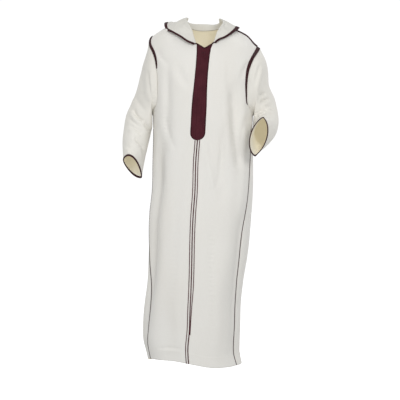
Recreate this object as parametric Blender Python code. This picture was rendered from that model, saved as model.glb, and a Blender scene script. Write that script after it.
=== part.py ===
"""Hooded robe in cream cloth with braided burgundy trims, in its worn form.

Metres, +Z up. The robe faces -Y and the wearer's left side is +X.
The origin lies in the neck opening, where the shoulders carry the robe.
"""
import math

import bmesh
import bpy
import numpy as np

# ---- driving sizes ----
WALL = 0.0020              # body and sleeve cloth with its turned seams
SEAM_GAP = 0.0003          # clearance between sewn pieces
SLEEVE_GAP = 0.0004        # clearance between a sleeve and its armhole
LIFT = 0.0005              # clearance under a trim that lies on a panel
EDGE_GAP = 0.0005          # clearance between a bound edge and its band
BAND_THICKNESS = 0.0031    # the bands that bind the cuffs and the hood's edge
TRIM_THICKNESS = 0.0012
HEM_Z = -1.393             # hem, below the neck
UNDERARM_Z = -0.340        # foot of both armholes; rows above it follow the shoulders
NECK_HALF = 0.082          # neck point of the shoulder seam, from the middle
NECK_CORNER = 0.034        # where the notch ends and the neck sides start
NOTCH_Z = -0.0745
CORNER_Z = -0.0530
NAPE_Z = 0.040
PLACKET_HALF = 0.0300
PLACKET_BOTTOM_Z = -0.455
CORD_WIDTH = 0.0035
CORD_SPACING = 0.0095
SIDE_CORD_WIDTH = 0.0026
ARM_TRIM_INSET = 0.0006    # from the panel's edge to the armhole braid
ARM_TRIM_LIFT = 0.0010
SIDE_CORD_LIFT = 0.00075
SHOULDER_TRIM_LIFT = 0.0013
SHOULDER_TRIM_INNER_X = 0.094
SHOULDER_TRIM_FORWARD_LEFT = 0.0150    # the left braid lies in front of the ridge
SHOULDER_TRIM_FORWARD_RIGHT = -0.0120  # the right braid lies behind it
SHOULDER_TRIM_HALF = 0.0048
HOOD_TRIM_WIDTH = 0.0080
CUFF_TRIM_WIDTH = 0.0090
UPPER_LEVEL = 0.100        # the sections are read no higher than this
HOOD_LIFT = 0.0008         # the hood starts just above the neckline
POUCH_WALL_DROP = 0.120    # how far the hanging pouch falls behind
POUCH_DROP = 0.240
POUCH_FULLNESS = 0.36
HOOD_START_X = 0.048       # the hood is sewn on from here to the other side
RIM_SHARE = 1.5            # how soon the hanging side reaches the rim's distance
WALL_DROP_POWER = 1.5      # how the pouch deepens towards the middle of the back
FOOT_DROP_POWER = 2.4
POUCH_TURN_POWER = 1.8
HOOD_CLEAR = 0.0070        # the hood lies this far off the shoulders and back
WALL_LINE = 2              # the guide line along the hood's near wall
COLUMN_SNAP = 0.25         # a hood strip this near a panel's column starts on it
HOOD_FRONT_PARTS = 3       # strips of the hood to each column of the front
HOOD_BACK_PARTS = 5        # strips of the hood to each column of the back
CORD_JOIN_Z = -1.255       # the left front cord joins the middle one
SIDE_CORD_INSET = 0.0012
YOKE_ROWS = 11
SKIRT_ROWS = 17
FRONT_COLS = 11            # columns in each half of the front
BACK_COLS = 22
GUSSET_COLS = 3
SEAM_BLEND = 0.045         # the armhole turns into the gusset seam over this height
HEM_LIFT = 0.029           # the hem rides up over the right shin
HEM_LIFT_ANGLE = -38.0
HEM_LIFT_SPREAD = 43.0
HEM_LIFT_POWER = 4.0
SLEEVE_ROWS = 18
HOOD_ROWS = 14
SHOULDER_TRIM_STEPS = 8

# level z, middle x, half width, middle y, depth to the front, depth to the back
SECTIONS = (
    (0.120, 0.000, 0.272, 0.000, 0.110, 0.118),
    (0.000, 0.000, 0.270, 0.000, 0.116, 0.126),
    (-0.100, -0.004, 0.250, 0.002, 0.128, 0.140),
    (-0.200, -0.006, 0.228, 0.004, 0.140, 0.150),
    (-0.350, -0.007, 0.213, 0.005, 0.150, 0.158),
    (-0.530, -0.006, 0.2135, 0.006, 0.156, 0.162),
    (-0.658, -0.007, 0.2140, 0.006, 0.160, 0.166),
    (-0.769, -0.016, 0.2165, 0.006, 0.163, 0.170),
    (-0.922, -0.024, 0.2110, 0.006, 0.165, 0.174),
    (-1.046, -0.037, 0.2035, 0.006, 0.166, 0.178),
    (-1.144, -0.049, 0.2050, 0.006, 0.166, 0.182),
    (-1.230, -0.0535, 0.2075, 0.006, 0.166, 0.184),
    (-1.305, -0.0545, 0.2055, 0.006, 0.166, 0.186),
    (-1.349, -0.0485, 0.1995, 0.006, 0.165, 0.186),
    (-1.393, -0.0395, 0.1985, 0.006, 0.164, 0.184),
)
SQUARENESS = 2.25          # 2 is an ellipse

# level z, angle of the front centre line in degrees from -Y
CENTRE_TURN = (
    (0.060, 0.4),
    (-0.060, 0.2),
    (-0.210, -1.7),
    (-0.410, -4.2),
    (-0.460, -4.9),
    (-0.530, -6.2),
    (-0.800, -6.5),
    (-0.905, -6.3),
    (-1.032, -4.3),
    (-1.161, -2.0),
    (-1.270, -1.8),
    (-1.393, -4.8),
)

# across x, height of the shoulder ridge z, rounding radius in z
RIDGE = (
    (-0.300, -0.075, 0.085),
    (-0.229, -0.008, 0.080),
    (-0.171, 0.030, 0.075),
    (-0.120, 0.047, 0.075),
    (-0.082, 0.056, 0.080),
    (0.000, 0.085, 0.090),
    (0.082, 0.040, 0.080),
    (0.120, 0.026, 0.075),
    (0.151, 0.0115, 0.075),
    (0.186, -0.010, 0.075),
    (0.208, -0.034, 0.080),
    (0.238, -0.056, 0.080),
    (0.300, -0.110, 0.085),
)

# level z, front edge x of the armhole, back edge x: wearer's right, then left
ARMHOLE_RIGHT = (
    (-0.008, -0.229, -0.229),
    (-0.030, -0.235, -0.230),
    (-0.054, -0.232, -0.224),
    (-0.079, -0.220, -0.214),
    (-0.103, -0.211, -0.206),
    (-0.128, -0.205, -0.200),
    (-0.180, -0.199, -0.195),
    (-0.240, -0.198, -0.194),
    (-0.300, -0.204, -0.200),
    (-0.340, -0.215, -0.212),
)
ARMHOLE_LEFT = (
    (-0.056, 0.238, 0.238),
    (-0.066, 0.233, 0.233),
    (-0.110, 0.206, 0.210),
    (-0.158, 0.187, 0.194),
    (-0.208, 0.179, 0.185),
    (-0.255, 0.1765, 0.183),
    (-0.300, 0.177, 0.184),
    (-0.340, 0.191, 0.195),
)

# level z, angles of the gusset seams: right front, right back, left front, left back
GUSSET = (
    (-0.340, -82.0, -97.0, 76.0, 96.0),
    (-0.600, -82.0, -102.0, 64.0, 98.0),
    (-0.766, -81.0, -103.0, 58.5, 99.0),
    (-0.905, -79.0, -104.0, 57.0, 100.0),
    (-1.005, -75.5, -105.0, 59.5, 101.0),
    (-1.120, -70.5, -105.5, 62.5, 102.0),
    (-1.250, -67.0, -106.0, 63.5, 102.0),
    (-1.393, -66.5, -106.0, 63.0, 102.0),
)

# angle at the top and at the foot, half width in degrees, rise, top z, foot z, fade
FOLDS = (
    (-50.0, -60.0, 9.0, -0.0110, -0.10, -1.30, 0.18),
    (-66.0, -74.0, 8.0, 0.0060, -0.40, -1.36, 0.20),
    (-38.0, -44.0, 10.0, 0.0050, -0.25, -1.25, 0.25),
    (37.0, 34.0, 8.0, -0.0100, -0.17, -0.72, 0.14),
    (50.0, 46.0, 8.0, 0.0060, -0.20, -0.90, 0.18),
    (12.0, 18.0, 6.0, -0.0040, -0.30, -0.70, 0.12),
    (36.0, 44.0, 8.0, -0.0070, -0.80, -1.39, 0.20),
    (20.0, 26.0, 13.0, 0.0090, -0.85, -1.45, 0.25),
    (-24.0, -30.0, 18.0, -0.0200, -1.00, -1.50, 0.30),
    (124.0, 128.0, 9.0, -0.0130, -0.25, -1.45, 0.25),
    (143.0, 148.0, 9.0, 0.0110, -0.30, -1.45, 0.25),
    (163.0, 166.0, 8.0, -0.0120, -0.40, -1.45, 0.25),
    (183.0, 184.0, 10.0, 0.0080, -0.45, -1.45, 0.30),
    (203.0, 201.0, 8.0, -0.0130, -0.38, -1.45, 0.25),
    (222.0, 218.0, 9.0, 0.0110, -0.30, -1.45, 0.25),
    (240.0, 236.0, 8.0, -0.0120, -0.28, -1.45, 0.25),
)

# rings of a sleeve after its armhole: inner point, outer point, step to the front side
SLEEVE_RIGHT = (
    (-0.2290, 0.006, -0.334, -0.262, 0.000, -0.125, 0.000, -0.086, 0.000),
    (-0.2265, 0.012, -0.372, -0.282, 0.012, -0.208, 0.000, -0.076, 0.000),
    (-0.2280, 0.008, -0.400, -0.310, 0.020, -0.277, 0.003, -0.070, 0.000),
    (-0.2330, -0.002, -0.432, -0.333, 0.012, -0.333, 0.008, -0.062, 0.012),
    (-0.2410, -0.018, -0.475, -0.339, -0.010, -0.393, 0.010, -0.058, 0.018),
    (-0.2510, -0.030, -0.525, -0.3415, -0.045, -0.455, 0.012, -0.057, 0.029),
    (-0.2642, -0.040, -0.5838, -0.3348, -0.092, -0.5281, 0.0092, -0.0540, 0.0432),
)
SLEEVE_LEFT = (
    (0.2170, 0.006, -0.338, 0.263, 0.000, -0.108, 0.000, -0.090, 0.000),
    (0.2130, 0.012, -0.368, 0.275, 0.012, -0.205, 0.000, -0.080, 0.000),
    (0.2115, 0.010, -0.395, 0.300, 0.018, -0.262, -0.005, -0.074, 0.012),
    (0.2115, -0.008, -0.414, 0.3135, 0.005, -0.325, -0.012, -0.066, 0.030),
    (0.2130, -0.055, -0.428, 0.312, -0.035, -0.372, -0.012, -0.050, 0.055),
    (0.2090, -0.115, -0.438, 0.298, -0.088, -0.412, -0.008, -0.035, 0.068),
    (0.1880, -0.196, -0.445, 0.264, -0.158, -0.442, 0.010, -0.015, 0.0710),
)

# share along the neckline, x, y, z of the hood's face edge
HOOD_EDGE = (
    (0.000, -0.036, -0.126, -0.052),
    (0.060, -0.068, -0.130, -0.040),
    (0.120, -0.097, -0.127, -0.020),
    (0.180, -0.130, -0.110, 0.001),
    (0.235, -0.151, -0.078, 0.019),
    (0.285, -0.157, -0.030, 0.045),
    (0.325, -0.151, 0.025, 0.055),
    (0.360, -0.138, 0.078, 0.045),
    (0.400, -0.116, 0.128, 0.022),
    (0.448, -0.074, 0.188, -0.008),
    (0.500, 0.000, 0.226, -0.034),
    (0.552, 0.068, 0.190, -0.010),
    (0.600, 0.107, 0.132, 0.014),
    (0.640, 0.125, 0.080, 0.032),
    (0.675, 0.131, 0.025, 0.040),
    (0.715, 0.132, -0.030, 0.036),
    (0.765, 0.122, -0.078, 0.016),
    (0.820, 0.102, -0.108, -0.006),
    (0.880, 0.081, -0.122, -0.022),
    (0.940, 0.058, -0.127, -0.032),
    (1.000, 0.037, -0.126, -0.048),
)

# share along the neckline, how far the hood's crest leans out, its rise
HOOD_CREST = (
    (0.000, 0.0054, 0.009),
    (0.120, 0.0045, 0.011),
    (0.200, -0.0020, 0.016),
    (0.280, -0.0090, 0.023),
    (0.345, 0.0080, 0.024),
    (0.400, 0.0144, 0.024),
    (0.500, 0.0144, 0.024),
    (0.600, 0.0144, 0.024),
    (0.655, 0.0060, 0.028),
    (0.710, -0.0140, 0.036),
    (0.790, -0.0030, 0.024),
    (0.880, 0.0040, 0.013),
    (1.000, 0.0054, 0.009),
)

# distance from the neck, how much wider the placket is to the right, to the left
PLACKET_FLARE = (
    (0.000, 0.0070, 0.0135),
    (0.006, 0.0050, 0.0085),
    (0.014, 0.0035, 0.0045),
    (0.030, 0.0022, 0.0028),
    (0.070, 0.0006, 0.0010),
    (0.120, 0.0000, 0.0000),
)

# level z, width of the armhole braid: left front, right front, left back, right back
ARM_TRIM_LEFT = (
    (-0.056, 0.0165),
    (-0.120, 0.0155),
    (-0.200, 0.0125),
    (-0.260, 0.0085),
    (-0.302, 0.0050),
)
ARM_TRIM_RIGHT = (
    (-0.008, 0.0120),
    (-0.060, 0.0130),
    (-0.110, 0.0120),
    (-0.140, 0.0095),
    (-0.158, 0.0055),
)
ARM_TRIM_LEFT_BACK = (
    (-0.056, 0.0165),
    (-0.140, 0.0135),
    (-0.220, 0.0105),
    (-0.302, 0.0060),
)
ARM_TRIM_RIGHT_BACK = (
    (-0.008, 0.0120),
    (-0.100, 0.0125),
    (-0.200, 0.0110),
    (-0.300, 0.0070),
)

CREAM = (0.775, 0.760, 0.700, 1.0)
CREAM_SLEEVE = (0.760, 0.740, 0.670, 1.0)
CREAM_HOOD = (0.765, 0.750, 0.690, 1.0)
BURGUNDY = (0.085, 0.020, 0.030, 1.0)
DARK_BURGUNDY = (0.045, 0.016, 0.020, 1.0)


def column(table, index):
    """One named column of a table as an array."""
    return np.array([row[index] for row in table])


def smooth_at(table, value, index):
    """A column's value at a level, on a smooth curve through the table's rows."""
    keys = column(table, 0)
    vals = column(table, index)
    if keys[0] > keys[-1]:
        keys = keys[::-1]
        vals = vals[::-1]
    if value <= keys[0]:
        return float(vals[0])
    if value >= keys[-1]:
        return float(vals[-1])
    i = int(np.searchsorted(keys, value)) - 1
    span = keys[i + 1] - keys[i]
    t = (value - keys[i]) / span
    slopes = np.gradient(vals, keys)
    h00 = 2 * t**3 - 3 * t**2 + 1
    h10 = t**3 - 2 * t**2 + t
    h01 = -2 * t**3 + 3 * t**2
    h11 = t**3 - t**2
    return float(h00 * vals[i] + h10 * span * slopes[i]
                 + h01 * vals[i + 1] + h11 * span * slopes[i + 1])


def unit(vector):
    length = float(np.linalg.norm(vector))
    return vector / length if length > 1e-12 else vector


def signed_power(value, power):
    return math.copysign(abs(value) ** power, value)


def ease(t):
    t = min(max(t, 0.0), 1.0)
    return t * t * (3 - 2 * t)


def shoulder_rounding(x, z):
    """0 on the shoulder ridge, 1 well below it, round between."""
    t = (smooth_at(RIDGE, x, 1) - z) / smooth_at(RIDGE, x, 2)
    t = min(max(t, 0.0), 1.0)
    return math.sqrt(1 - (1 - t) ** 2)


def fold_rise(angle, z):
    """How far the folds push the cloth out of its plain section."""
    rise = 0.0
    for top_angle, foot_angle, half, height, top, foot, fade in FOLDS:
        along = min(max((top - z) / (top - foot), 0.0), 1.0)
        centre = top_angle + (foot_angle - top_angle) * along
        off = (angle - centre + 180) % 360 - 180
        ends = ease((top - z) / fade) * ease((z - foot) / fade)
        rise += height * ends * math.exp(-(off / half) ** 2)
    return rise


def body_point(angle, z):
    """Outer face of the body at an angle in degrees from -Y towards +X."""
    middle_x = smooth_at(SECTIONS, z, 1)
    half_width = smooth_at(SECTIONS, z, 2)
    middle_y = smooth_at(SECTIONS, z, 3)
    sine = math.sin(math.radians(angle))
    cosine = math.cos(math.radians(angle))
    depth = smooth_at(SECTIONS, z, 4 if cosine > 0 else 5)
    power = 2 / SQUARENESS
    x = middle_x + half_width * signed_power(sine, power)
    rounding = shoulder_rounding(x, z)
    y = middle_y - depth * signed_power(cosine, power) * rounding
    rise = fold_rise(angle, z) * rounding
    return np.array((x + rise * sine, y - rise * cosine, z))


def body_normal(angle, z):
    """Outward direction of the body's face."""
    turn = 0.6
    drop = 0.0015
    across = body_point(angle + turn, z) - body_point(angle - turn, z)
    down = body_point(angle, z - drop) - body_point(angle, z)
    return unit(np.cross(down, across))


def ridge_up(x):
    """Direction square to the shoulder ridge."""
    run = 0.004
    rise = smooth_at(RIDGE, x + run, 1) - smooth_at(RIDGE, x - run, 1)
    return unit(np.array((-rise, 0.0, 2 * run)))


def angle_of_x(x, z, back):
    """Angle at which the section at this level passes through x."""
    share = (x - smooth_at(SECTIONS, z, 1)) / smooth_at(SECTIONS, z, 2)
    share = min(max(share, -1.0), 1.0)
    angle = math.degrees(math.asin(signed_power(share, SQUARENESS / 2)))
    return 180 - angle if back else angle


def edge_angle(z, left, back):
    """Angle of a panel's side edge: the armhole, then the gusset seam."""
    table = ARMHOLE_LEFT if left else ARMHOLE_RIGHT
    seam = (4 if back else 3) if left else (2 if back else 1)
    if z < UNDERARM_Z:
        return smooth_at(GUSSET, z, seam) % 360 if back else smooth_at(GUSSET, z, seam)
    hole = angle_of_x(smooth_at(table, z, 2 if back else 1), z, back)
    seam_angle = smooth_at(GUSSET, UNDERARM_Z, seam)
    if back:
        seam_angle %= 360
    mix = ease((UNDERARM_Z + SEAM_BLEND - z) / SEAM_BLEND)
    return hole + (seam_angle - hole) * mix


def front_neckline(x):
    """Height of the front neckline: a notch, two corners and the neck sides."""
    if abs(x) < NECK_CORNER:
        return NOTCH_Z + (CORNER_Z - NOTCH_Z) * abs(x) / NECK_CORNER
    neck_z = smooth_at(RIDGE, math.copysign(NECK_HALF, x), 1)
    share = (abs(x) - NECK_CORNER) / (NECK_HALF - NECK_CORNER)
    return CORNER_Z + (neck_z - CORNER_Z) * min(share, 1.0) ** 0.8


def back_neckline(x):
    neck_z = smooth_at(RIDGE, math.copysign(NECK_HALF, x), 1)
    share = min(abs(x) / NECK_HALF, 1.0)
    return NAPE_Z + (neck_z - NAPE_Z) * share**3


def top_z(x, back):
    if abs(x) >= NECK_HALF:
        return smooth_at(RIDGE, x, 1)
    return back_neckline(x) if back else front_neckline(x)


def row_levels():
    """Shares of the yoke from its top, then levels of the skirt."""
    yoke = [(k / YOKE_ROWS) ** 2.8 for k in range(YOKE_ROWS + 1)]
    skirt = [UNDERARM_Z + (HEM_Z - UNDERARM_Z) * k / SKIRT_ROWS for k in range(1, SKIRT_ROWS + 1)]
    return yoke, skirt


def skirt_z(angle, level_z):
    """A skirt row's height: the hem rides up over the right shin."""
    off = (angle - HEM_LIFT_ANGLE + 180) % 360 - 180
    share = (UNDERARM_Z - level_z) / (UNDERARM_Z - HEM_Z)
    return level_z + HEM_LIFT * ease(share) * math.exp(-abs(off / HEM_LIFT_SPREAD) ** HEM_LIFT_POWER)


def panel_angle(share, z, back):
    """Angle across a panel, share -1 at its right edge and 1 at its left edge."""
    middle = smooth_at(CENTRE_TURN, z, 1) + (180 if back else 0)
    edge = edge_angle(z, share > 0, back)
    return middle + (edge - middle) * abs(share)


def panel_point(share, level, back):
    """Outer face and direction of a panel; level 0 to 1 is the yoke, 1 to 2 the skirt."""
    if level >= 1:
        z = UNDERARM_Z + (HEM_Z - UNDERARM_Z) * (level - 1)
        angle = panel_angle(share, z, back)
        z = skirt_z(angle, z)
        return body_point(angle, z), body_normal(angle, z)
    top = smooth_at(RIDGE, 0.15 * share, 1)
    for _ in range(20):
        x = body_point(panel_angle(share, top, back), top)[0]
        top += 0.6 * (top_z(x, back) - top)
    z = top + (UNDERARM_Z - top) * level
    angle = panel_angle(share, z, back)
    point = body_point(angle, z)
    if level == 0 and abs(x) >= NECK_HALF:
        return point, ridge_up(x)
    return point, body_normal(angle, z)


def facing(points, closed=False):
    """Outward direction at each point of a grid of rows and columns."""
    grid = np.array(points)
    across = np.gradient(grid, axis=1)
    if closed:
        across = (np.roll(grid, -1, axis=1) - np.roll(grid, 1, axis=1)) / 2
    along = np.gradient(grid, axis=0)
    normal = np.cross(across, along)
    length = np.linalg.norm(normal, axis=2, keepdims=True)
    return -normal / np.maximum(length, 1e-12)


def panel_grid(shares, back):
    """Points and outward directions of a whole panel, one row for each level."""
    yoke, skirt = row_levels()
    levels = list(yoke)
    levels += [1 + (z - UNDERARM_Z) / (HEM_Z - UNDERARM_Z) for z in skirt]
    cells = [[panel_point(s, level, back) for s in shares] for level in levels]
    points = np.array([[cell[0] for cell in row] for row in cells])
    normals = np.array([[cell[1] for cell in row] for row in cells])
    return points, normals


def sample(grid, row, col):
    """A point and its outward direction between the rows and columns of a grid."""
    points, normals = grid
    r = min(max(row, 0.0), len(points) - 1.0)
    c = min(max(col, 0.0), len(points[0]) - 1.0)
    r0 = min(int(r), len(points) - 2)
    c0 = min(int(c), len(points[0]) - 2)
    fr = r - r0
    fc = c - c0
    out = []
    for field in (points, normals):
        low = field[r0][c0] * (1 - fc) + field[r0][c0 + 1] * fc
        high = field[r0 + 1][c0] * (1 - fc) + field[r0 + 1][c0 + 1] * fc
        out.append(low * (1 - fr) + high * fr)
    return out[0], unit(out[1])


def material(name, colour, roughness):
    mat = bpy.data.materials.new(name)
    mat.use_nodes = True
    shader = mat.node_tree.nodes["Principled BSDF"]
    shader.inputs["Base Color"].default_value = colour
    shader.inputs["Roughness"].default_value = roughness
    shader.inputs["Metallic"].default_value = 0.0
    return mat


def add_solid(name, rings, mat, closed_along=False):
    """Loft a closed solid through rings of points; end rings are capped."""
    mesh = bmesh.new()
    loops = [[mesh.verts.new(p) for p in ring] for ring in rings]
    count = len(rings[0])
    pairs = list(zip(loops[:-1], loops[1:]))
    if closed_along:
        pairs.append((loops[-1], loops[0]))
    for low, high in pairs:
        for i in range(count):
            j = (i + 1) % count
            mesh.faces.new((low[i], low[j], high[j], high[i]))
    if not closed_along:
        half = count // 2
        for loop in (loops[0], loops[-1]):
            for i in range(half - 1):
                mesh.faces.new((loop[i], loop[i + 1], loop[count - 2 - i], loop[count - 1 - i]))
    bmesh.ops.triangulate(mesh, faces=mesh.faces[:], quad_method="SHORT_EDGE")
    bmesh.ops.recalc_face_normals(mesh, faces=mesh.faces[:])
    data = bpy.data.meshes.new(name)
    mesh.to_mesh(data)
    mesh.free()
    data.materials.append(mat)
    for poly in data.polygons:
        poly.use_smooth = True
    data.set_sharp_from_angle(angle=math.radians(40))
    obj = bpy.data.objects.new(name, data)
    robe.objects.link(obj)
    return obj


def cloth(name, points, normals, mat, thickness=WALL):
    """A wall between the outer points and the same points moved inwards."""
    rings = []
    for row_points, row_normals in zip(points, normals):
        outer = [p for p in row_points]
        inner = [p - n * thickness for p, n in zip(row_points, row_normals)]
        rings.append(outer + inner[::-1])
    return add_solid(name, rings, mat)


def tube(name, points, normals, mat, thickness=WALL):
    """A wall around an open tube, from rings of outer points."""
    columns = []
    for c in range(len(points[0])):
        outer = [points[r][c] for r in range(len(points))]
        inner = [points[r][c] - normals[r][c] * thickness for r in range(len(points))]
        columns.append(outer + inner[::-1])
    return add_solid(name, columns, mat, closed_along=True)


def trim_strip(name, rows, mat, thickness=TRIM_THICKNESS, lift=LIFT):
    """A band over points and outward directions, moved out from its panel."""
    rings = []
    for row in rows:
        under = [p + n * lift for p, n in row]
        over = [p + n * (lift + thickness) for p, n in row]
        rings.append(over + under[::-1])
    return add_solid(name, rings, mat)


# ---- panels ----
def trimmed(points, side, gap):
    """Pull one edge column back by the seam gap."""
    out = np.array(points)
    inner = 1 if side == 0 else -2
    step = out[:, inner] - out[:, side]
    length = np.linalg.norm(step, axis=1, keepdims=True)
    out[:, side] = out[:, side] + step / length * gap
    return out


def top_trimmed(points, gap):
    out = np.array(points)
    step = out[1] - out[0]
    length = np.linalg.norm(step, axis=1, keepdims=True)
    out[0] = out[0] + step / length * gap
    return out


def make_front(mats):
    shares = [k / FRONT_COLS for k in range(-FRONT_COLS, FRONT_COLS + 1)]
    grid = panel_grid(shares, back=False)
    points, normals = grid
    cut = top_trimmed(points, SEAM_GAP)
    right = trimmed(trimmed(cut[:, :FRONT_COLS + 1], 0, SEAM_GAP), -1, SEAM_GAP / 2)
    left = trimmed(trimmed(cut[:, FRONT_COLS:], -1, SEAM_GAP), 0, SEAM_GAP / 2)
    cloth("front_right", right, normals[:, :FRONT_COLS + 1], mats["cloth"])
    cloth("front_left", left, normals[:, FRONT_COLS:], mats["cloth"])
    return grid


def make_back(mats):
    half = BACK_COLS // 2
    shares = [k / half for k in range(-half, half + 1)]
    grid = panel_grid(shares, back=True)
    points, normals = grid
    cut = trimmed(trimmed(top_trimmed(points, SEAM_GAP), 0, SEAM_GAP), -1, SEAM_GAP)
    cloth("back", cut, normals, mats["cloth"])
    return grid


def gusset_grid(left):
    """The tapered side panel from the underarm to the hem."""
    points = []
    normals = []
    for z in [UNDERARM_Z - SEAM_GAP] + row_levels()[1]:
        front = smooth_at(GUSSET, z, 3 if left else 1)
        back = smooth_at(GUSSET, z, 4 if left else 2)
        angles = [front + (back - front) * k / GUSSET_COLS for k in range(GUSSET_COLS + 1)]
        points.append([body_point(a, skirt_z(a, z)) for a in angles])
        normals.append([body_normal(a, skirt_z(a, z)) for a in angles])
    return np.array(points), np.array(normals)


def make_gusset(name, left, mats):
    points, normals = gusset_grid(left)
    cut = trimmed(trimmed(points, 0, SEAM_GAP), -1, SEAM_GAP)
    cloth(name, cut, normals, mats["cloth"])


# ---- sleeves ----
def armhole_loop(left, front_grid, back_grid):
    """Points and directions around an armhole: up the front, over and down the back."""
    col = -1 if left else 0
    points = [front_grid[0][r][col] for r in range(YOKE_ROWS, -1, -1)]
    normals = [front_grid[1][r][col] for r in range(YOKE_ROWS, -1, -1)]
    points += [back_grid[0][r][col] for r in range(1, YOKE_ROWS + 1)]
    normals += [back_grid[1][r][col] for r in range(1, YOKE_ROWS + 1)]
    table_angles = (3, 4) if left else (1, 2)
    middle = sum(smooth_at(GUSSET, UNDERARM_Z, k) for k in table_angles) / 2
    foot = body_point(middle, UNDERARM_Z)
    outward = body_normal(middle, UNDERARM_Z)
    return np.array([foot] + points), np.array([outward] + normals)


def sleeve_ring(row, turns):
    """An oval from its inner point, round the front side, over its outer point."""
    inner = np.array(row[0:3])
    outer = np.array(row[3:6])
    fore = np.array(row[6:9])
    centre = (inner + outer) / 2
    half = (outer - inner) / 2
    return np.array([centre - half * math.cos(a) + fore * math.sin(a) for a in turns])


def ring_turns(loop):
    """Angle round the sleeve of each of the armhole's points, by length along it."""
    steps = np.linalg.norm(np.roll(loop, -1, axis=0) - loop, axis=1)
    along = np.concatenate([[0], np.cumsum(steps)[:-1]])
    by_length = 2 * math.pi * along / steps.sum()
    even = 2 * math.pi * np.arange(len(loop)) / len(loop)
    return by_length, even


def catmull(stations, s):
    """A smooth path through the stations, s from 0 to the last station's number."""
    last = len(stations) - 1
    i = min(int(s), last - 1)
    t = s - i
    p0 = stations[max(i - 1, 0)]
    p1 = stations[i]
    p2 = stations[i + 1]
    p3 = stations[min(i + 2, last)]
    return 0.5 * (2 * p1 + (p2 - p0) * t + (2 * p0 - 5 * p1 + 4 * p2 - p3) * t * t
                  + (3 * p1 - p0 - 3 * p2 + p3) * t**3)


def sleeve_grid(left, front_grid, back_grid):
    """Rings from the armhole to the cuff, with their outward directions."""
    loop, loop_normals = armhole_loop(left, front_grid, back_grid)
    table = SLEEVE_LEFT if left else SLEEVE_RIGHT
    by_length, even = ring_turns(loop)
    last = len(table)
    rings = []
    for number, row in enumerate(table):
        settled = ease(number / 3)
        rings.append(sleeve_ring(row, by_length * (1 - settled) + even * settled))
    away = rings[0] - loop
    away = away / np.linalg.norm(away, axis=1, keepdims=True)
    stations = [loop + away * SLEEVE_GAP] + rings
    points = np.array([catmull(stations, last * k / SLEEVE_ROWS) for k in range(SLEEVE_ROWS + 1)])
    normals = facing(points, closed=True)
    middle = points[-1].mean(axis=0)
    if float(np.dot(normals[-1][0], points[-1][0] - middle)) < 0:
        normals = -normals
    normals[0] = loop_normals
    normals[-1] = squared(normals[-1], points[-1] - points[-2])
    return points, normals


def squared(normals, along):
    """Directions turned square to the run of the cloth at its edge."""
    run = along / np.linalg.norm(along, axis=1, keepdims=True)
    flat = normals - run * (normals * run).sum(axis=1, keepdims=True)
    return flat / np.linalg.norm(flat, axis=1, keepdims=True)


def edge_band(name, edge, beyond, normals, mat, width, closed):
    """A band that carries a sheet's edge on past a hairline gap."""
    if closed:
        along = np.roll(edge, -1, axis=0) - np.roll(edge, 1, axis=0)
    else:
        along = np.gradient(edge, axis=0)
    outward = np.cross(along, normals)
    outward *= np.sign(np.sum(outward * (edge - beyond), axis=1, keepdims=True))
    outward = outward / np.linalg.norm(outward, axis=1, keepdims=True)
    proud = (BAND_THICKNESS - WALL) / 2
    rings = []
    for p, out, n in zip(edge, outward, normals):
        near = p + out * EDGE_GAP
        far = near + out * width
        rings.append([near + n * proud, far + n * proud,
                      far - n * (WALL + proud), near - n * (WALL + proud)])
    return add_solid(name, rings, mat, closed_along=closed)


def make_sleeve(side, front_grid, back_grid, mats):
    points, normals = sleeve_grid(side == "left", front_grid, back_grid)
    tube("sleeve_" + side, points, normals, mats["sleeve"])
    edge_band("cuff_trim_" + side, points[-1], points[-2], normals[-1], mats["trim"],
              CUFF_TRIM_WIDTH, closed=True)


# ---- hood ----
def top_edge(grid, first_x, last_x, parts):
    """Places along a panel's top edge between two distances across it."""
    xs = grid[0][0][:, 0]
    ends = [float(np.interp(x, xs, np.arange(len(xs)))) for x in (first_x, last_x)]
    ends = [round(c) if abs(c - round(c)) < COLUMN_SNAP else c for c in ends]
    stops = [c for c in range(len(xs)) if ends[0] < c < ends[1]]
    stops = [ends[0]] + stops + [ends[1]]
    cols = []
    for near, far in zip(stops[:-1], stops[1:]):
        cols += [near + (far - near) * k / parts for k in range(parts)]
    cols.append(ends[1])
    return [sample(grid, 0, col) for col in cols]


def neckline(front_grid, back_grid):
    """Places just above the neckline, from the right front corner round to the left one."""
    right = top_edge(front_grid, -NECK_HALF, -HOOD_START_X, HOOD_FRONT_PARTS)[::-1]
    behind = top_edge(back_grid, -NECK_HALF, NECK_HALF, HOOD_BACK_PARTS)[1:-1]
    left = top_edge(front_grid, HOOD_START_X, NECK_HALF, HOOD_FRONT_PARTS)[::-1]
    places = right + behind + left
    points = np.array([place[0] for place in places]) + np.array((0.0, 0.0, HOOD_LIFT))
    steps = np.linalg.norm(np.diff(points, axis=0), axis=1)
    shares = np.concatenate([[0], np.cumsum(steps)]) / steps.sum()
    return points, np.array([place[1] for place in places]), shares


def body_field(point):
    """1 on the body's plain face, more outside it and less inside."""
    x, y, z = point
    level = min(z, UPPER_LEVEL)
    back = y > smooth_at(SECTIONS, level, 3)
    share = abs(x - smooth_at(SECTIONS, level, 1)) / smooth_at(SECTIONS, level, 2)
    across = max(1 - min(share, 0.97) ** SQUARENESS, 0.01) ** (1 / SQUARENESS)
    depth = smooth_at(SECTIONS, level, 5 if back else 4) * across
    drop = (smooth_at(RIDGE, x, 1) - z) / smooth_at(RIDGE, x, 2)
    over = 1 - min(drop, 1.0)
    return ((y - smooth_at(SECTIONS, level, 3)) / depth) ** 2 + over**2


def body_clearance(point):
    """Distance from the body's face and the direction straight away from it."""
    step = 0.001
    slope = np.array([(body_field(point + d) - body_field(point - d)) / (2 * step)
                      for d in np.eye(3) * step])
    steep = max(float(np.linalg.norm(slope)), 1e-6)
    return (body_field(point) - 1) / steep, slope / steep


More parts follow.
